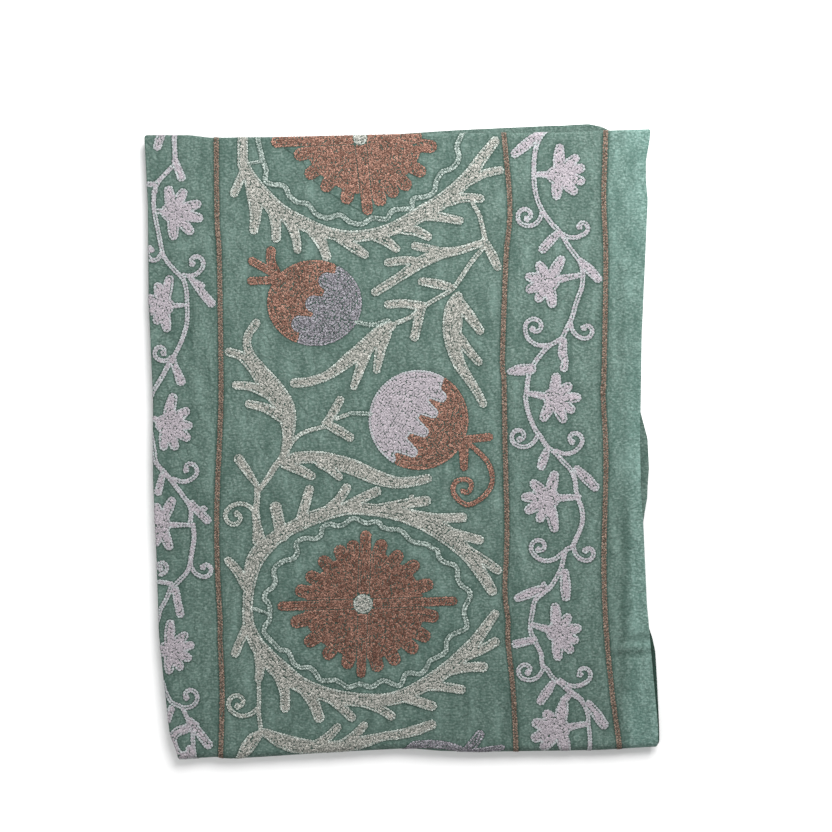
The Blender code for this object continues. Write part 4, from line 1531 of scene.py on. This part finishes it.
# %% The pieces
END = 999
PIECES = {
    # piece: yarn, its box of the chart, slot, how much darker its stitches are made, and how full a
    # stitch is beside the usual one
    "cream_upper_wreath": ("cream_leaf_embroidery", (0, 0, END, 260), "cream_yarn", 0, 1.07),
    "cream_sprays": ("cream_leaf_embroidery", (0, 260, END, 495), "cream_yarn", 0, 1.07),
    "cream_lower_wreath": ("cream_leaf_embroidery", (0, 495, END, END), "cream_yarn", 0, 1.07),
    "cream_discs": ("cream_discs", (0, 0, END, END), "cream_yarn", 0, 1.07),
    "lilac_left_border": ("lilac_embroidery", (0, 0, 218, END), "lilac_yarn", 0, 1.12),
    "lilac_fruit": ("lilac_embroidery", (218, 0, 500, END), "lilac_yarn", 0, 1.12),
    "lilac_right_border": ("lilac_embroidery", (500, 0, END, END), "lilac_yarn", 0, 1.12),
    "brown_upper_medallion_and_fruit": ("brown_embroidery", (0, 0, END, 515), "brown_yarn", 0.1, 1.05),
    "brown_lower_medallion": ("brown_embroidery", (0, 515, END, END), "brown_yarn", 0.27, 1.05),
    "brown_stripes": ("brown_stripes", (0, 0, END, END), "brown_yarn", 0, 1.0),
    "mint_rings": ("mint_rings", (0, 0, END, END), "mint_yarn", 0, 1.0),
    "grey_embroidery": ("grey_embroidery", (0, 0, END, END), "grey_yarn", 0, 1.0),
}
for name, (yarn, (left, top, right, bottom), slot, darkened, fullness) in PIECES.items():
    places, turns, loose = charted[yarn]
    mine = (places[:, 0] >= left) & (places[:, 0] < right) & (places[:, 1] >= top) & (places[:, 1] < bottom)
    finish = "stripe_yarn" if name == "brown_stripes" else slot
    worked(name, places[mine], turns[mine], loose[mine], finish, darkened, fullness)

# %% [markdown]
# ## Painted shade round the stitching
# Tight stitches pull the cotton in and stand over it, so a narrow groove in shade runs round every shape. It
# is too narrow for the sheet's own grid. A ribbon of the same cotton, lying just on the sheet, follows each
# outline instead and carries that shade painted on: dark next to the yarn, and fading into the ground at its
# outer edge, where it takes the sheet's own colour.

# %% Painted shade round the stitching
RIBBON_OUTLINE = -0.05
RIBBON_PITCH = 2.2
LEAST_POINTS = 6
PROBE = 1.2
RIBBON_FURTHEST = 0.9 * math.pi
# Each line of the ribbon: its step inward in px, how much painted shade it carries, and how high it stands
# in mm.
RIBBON_STEPS = ((0.35, 0.95, 0.16), (-0.5, 0.75, 0.12), (-1.7, 0.0, 0.03))


def ribbon(name):
    """Three lines of painted shade along each outline: under the yarn, in the groove and out on the ground.
    """
    ground = bmesh.new()
    shade = ground.verts.layers.float.new("painted_shade")
    lightened = ground.verts.layers.float.new("lightened")
    flat_layer = ground.loops.layers.uv.new("flat_cloth")
    for line in height_lines(depth_everywhere, RIBBON_OUTLINE):
        place, turn = stepped(line, RIBBON_PITCH)
        if len(place) < LEAST_POINTS:
            continue
        inward = np.stack([-np.sin(turn), np.cos(turn)], axis=1)
        deeper, shallower = (sample(depth_everywhere, place + way * inward) for way in (PROBE, -PROBE))
        inward = np.where((deeper > shallower)[:, None], inward, -inward)
        lines = []
        for step, dark, stand in RIBBON_STEPS:
            x, y = from_chart(*(place + step * inward).T)
            laid, turned = laid_on_cloth(x, y, TOP_FACE + stand * MM)
            points = [ground.verts.new(p) for p in laid]
            for point, lighter_by in zip(points, lightened_margin(np.stack([x, y], axis=1))):
                point[shade] = dark
                point[lightened] = lighter_by
            lines.append((points, np.stack([x, y], axis=1), turned))
        count = len(place)
        for (inner, inner_flat, turned), (outer, outer_flat, _) in zip(lines, lines[1:]):
            for i in range(count):
                j = (i + 1) % count
                if max(turned[i], turned[j]) > RIBBON_FURTHEST:
                    continue
                face = ground.faces.new((inner[i], inner[j], outer[j], outer[i]))
                face.smooth = True
                flats = (inner_flat[i], inner_flat[j], outer_flat[j], outer_flat[i])
                for corner, flat in zip(face.loops, flats):
                    corner[flat_layer].uv = flat
    bmesh.ops.delete(ground, geom=[v for v in ground.verts if not v.link_faces], context="VERTS")
    mesh = bpy.data.meshes.new(name)
    ground.to_mesh(mesh)
    ground.free()
    return mesh


ribbon_mesh = ribbon("painted_shade_ribbon")
new_piece("painted_shade_ribbon", ribbon_mesh, cotton)
print("drawn-in ground:", len(ribbon_mesh.polygons), "faces")

# %% [markdown]
# ## Floor
# The cloth lies on a white ground. One large face just under the cloth gives it its contact shadow. It
# could be left out against a white background, but then the cloth would seem to float. It rides on no body,
# so that it is not part of the object.

# %% Floor
FLOOR_HALF, FLOOR_DROP, FLOOR_WHITE = 3.0, 0.0002, 0.95
floor_mesh = bpy.data.meshes.new("floor")
ground = bmesh.new()
bmesh.ops.create_grid(ground, x_segments=1, y_segments=1, size=FLOOR_HALF)
bmesh.ops.translate(ground, vec=(0, 0, -FLOOR_DROP), verts=ground.verts)
ground.to_mesh(floor_mesh)
ground.free()
floor = bpy.data.objects.new("floor", floor_mesh)
bpy.context.scene.collection.objects.link(floor)
pale = bpy.data.materials.new("pale_floor")
pale.use_nodes = True
pale_shader = pale.node_tree.nodes["Principled BSDF"]
pale_shader.inputs["Base Color"].default_value = (FLOOR_WHITE, FLOOR_WHITE, FLOOR_WHITE, 1)
pale_shader.inputs["Roughness"].default_value = 0.9
floor_mesh.materials.append(pale)
print("floor:", 2 * FLOOR_HALF, "m wide")

# %% [markdown]
# ## Light
# The light is soft and comes a little more from the far right. A sun lamp would be simple, but its shadows
# are hard. A wide lamp stands on that side instead, a weaker one across from it opens up the shadows, and a
# pale surrounding keeps them from going black.

# %% Light
scene = bpy.context.scene
scene.view_settings.view_transform = "Standard"
scene.view_settings.look = "None"
SURROUNDING_STRENGTH = 0.3
LAMPS = (
    # name, place in metres, size in metres, watts
    ("window_light", (0.45, 1.0, 1.1), 1.3, 44),
    ("fill_light", (-1.4, -0.8, 1.8), 1.6, 20),
)
world = bpy.data.worlds.new("soft_room")
world.use_nodes = True
world.node_tree.nodes["Background"].inputs[0].default_value = (1, 1, 1, 1)
world.node_tree.nodes["Background"].inputs[1].default_value = SURROUNDING_STRENGTH
scene.world = world


def lamp(name, place, size, watts):
    """A round lamp that looks at the middle of the cloth."""
    data = bpy.data.lights.new(name, "AREA")
    data.shape = "DISK"
    data.size = size
    data.energy = watts
    lamp_object = bpy.data.objects.new(name, data)
    scene.collection.objects.link(lamp_object)
    lamp_object.location = place
    tilt, turn = math.acos(place[2] / np.linalg.norm(place)), math.atan2(place[0], -place[1])
    lamp_object.rotation_euler = (tilt, 0, turn)
    lamp_object.visible_camera = False


for row in LAMPS:
    lamp(*row)
print("lamps:", [row[0] for row in LAMPS])

# %% [markdown]
# ## Camera
# The cloth is seen from straight above. The lens follows from the height, so that one pixel of the view
# covers one pixel of the chart at the cloth's face. An orthographic camera would do for flat cloth, but a
# real lens also shows the edges of the lower plies as the eye sees them.

# %% Camera
VIEW_PIXELS = 832
CAMERA_HEIGHT = 2.2
FACE_HEIGHT = 0.0195
SENSOR = 36.0
camera_data = bpy.data.cameras.new("camera_above")
camera_data.sensor_width = SENSOR
camera_data.lens = SENSOR * (CAMERA_HEIGHT - FACE_HEIGHT) / (VIEW_PIXELS * PIXEL)
camera = bpy.data.objects.new("camera_above", camera_data)
scene.collection.objects.link(camera)
view_x, view_y = from_chart(VIEW_PIXELS / 2, VIEW_PIXELS / 2)
camera.location = (view_x - shift[0], view_y - shift[1], CAMERA_HEIGHT)
scene.camera = camera
print("camera over", [round(v, 4) for v in camera.location])

# %% [markdown]
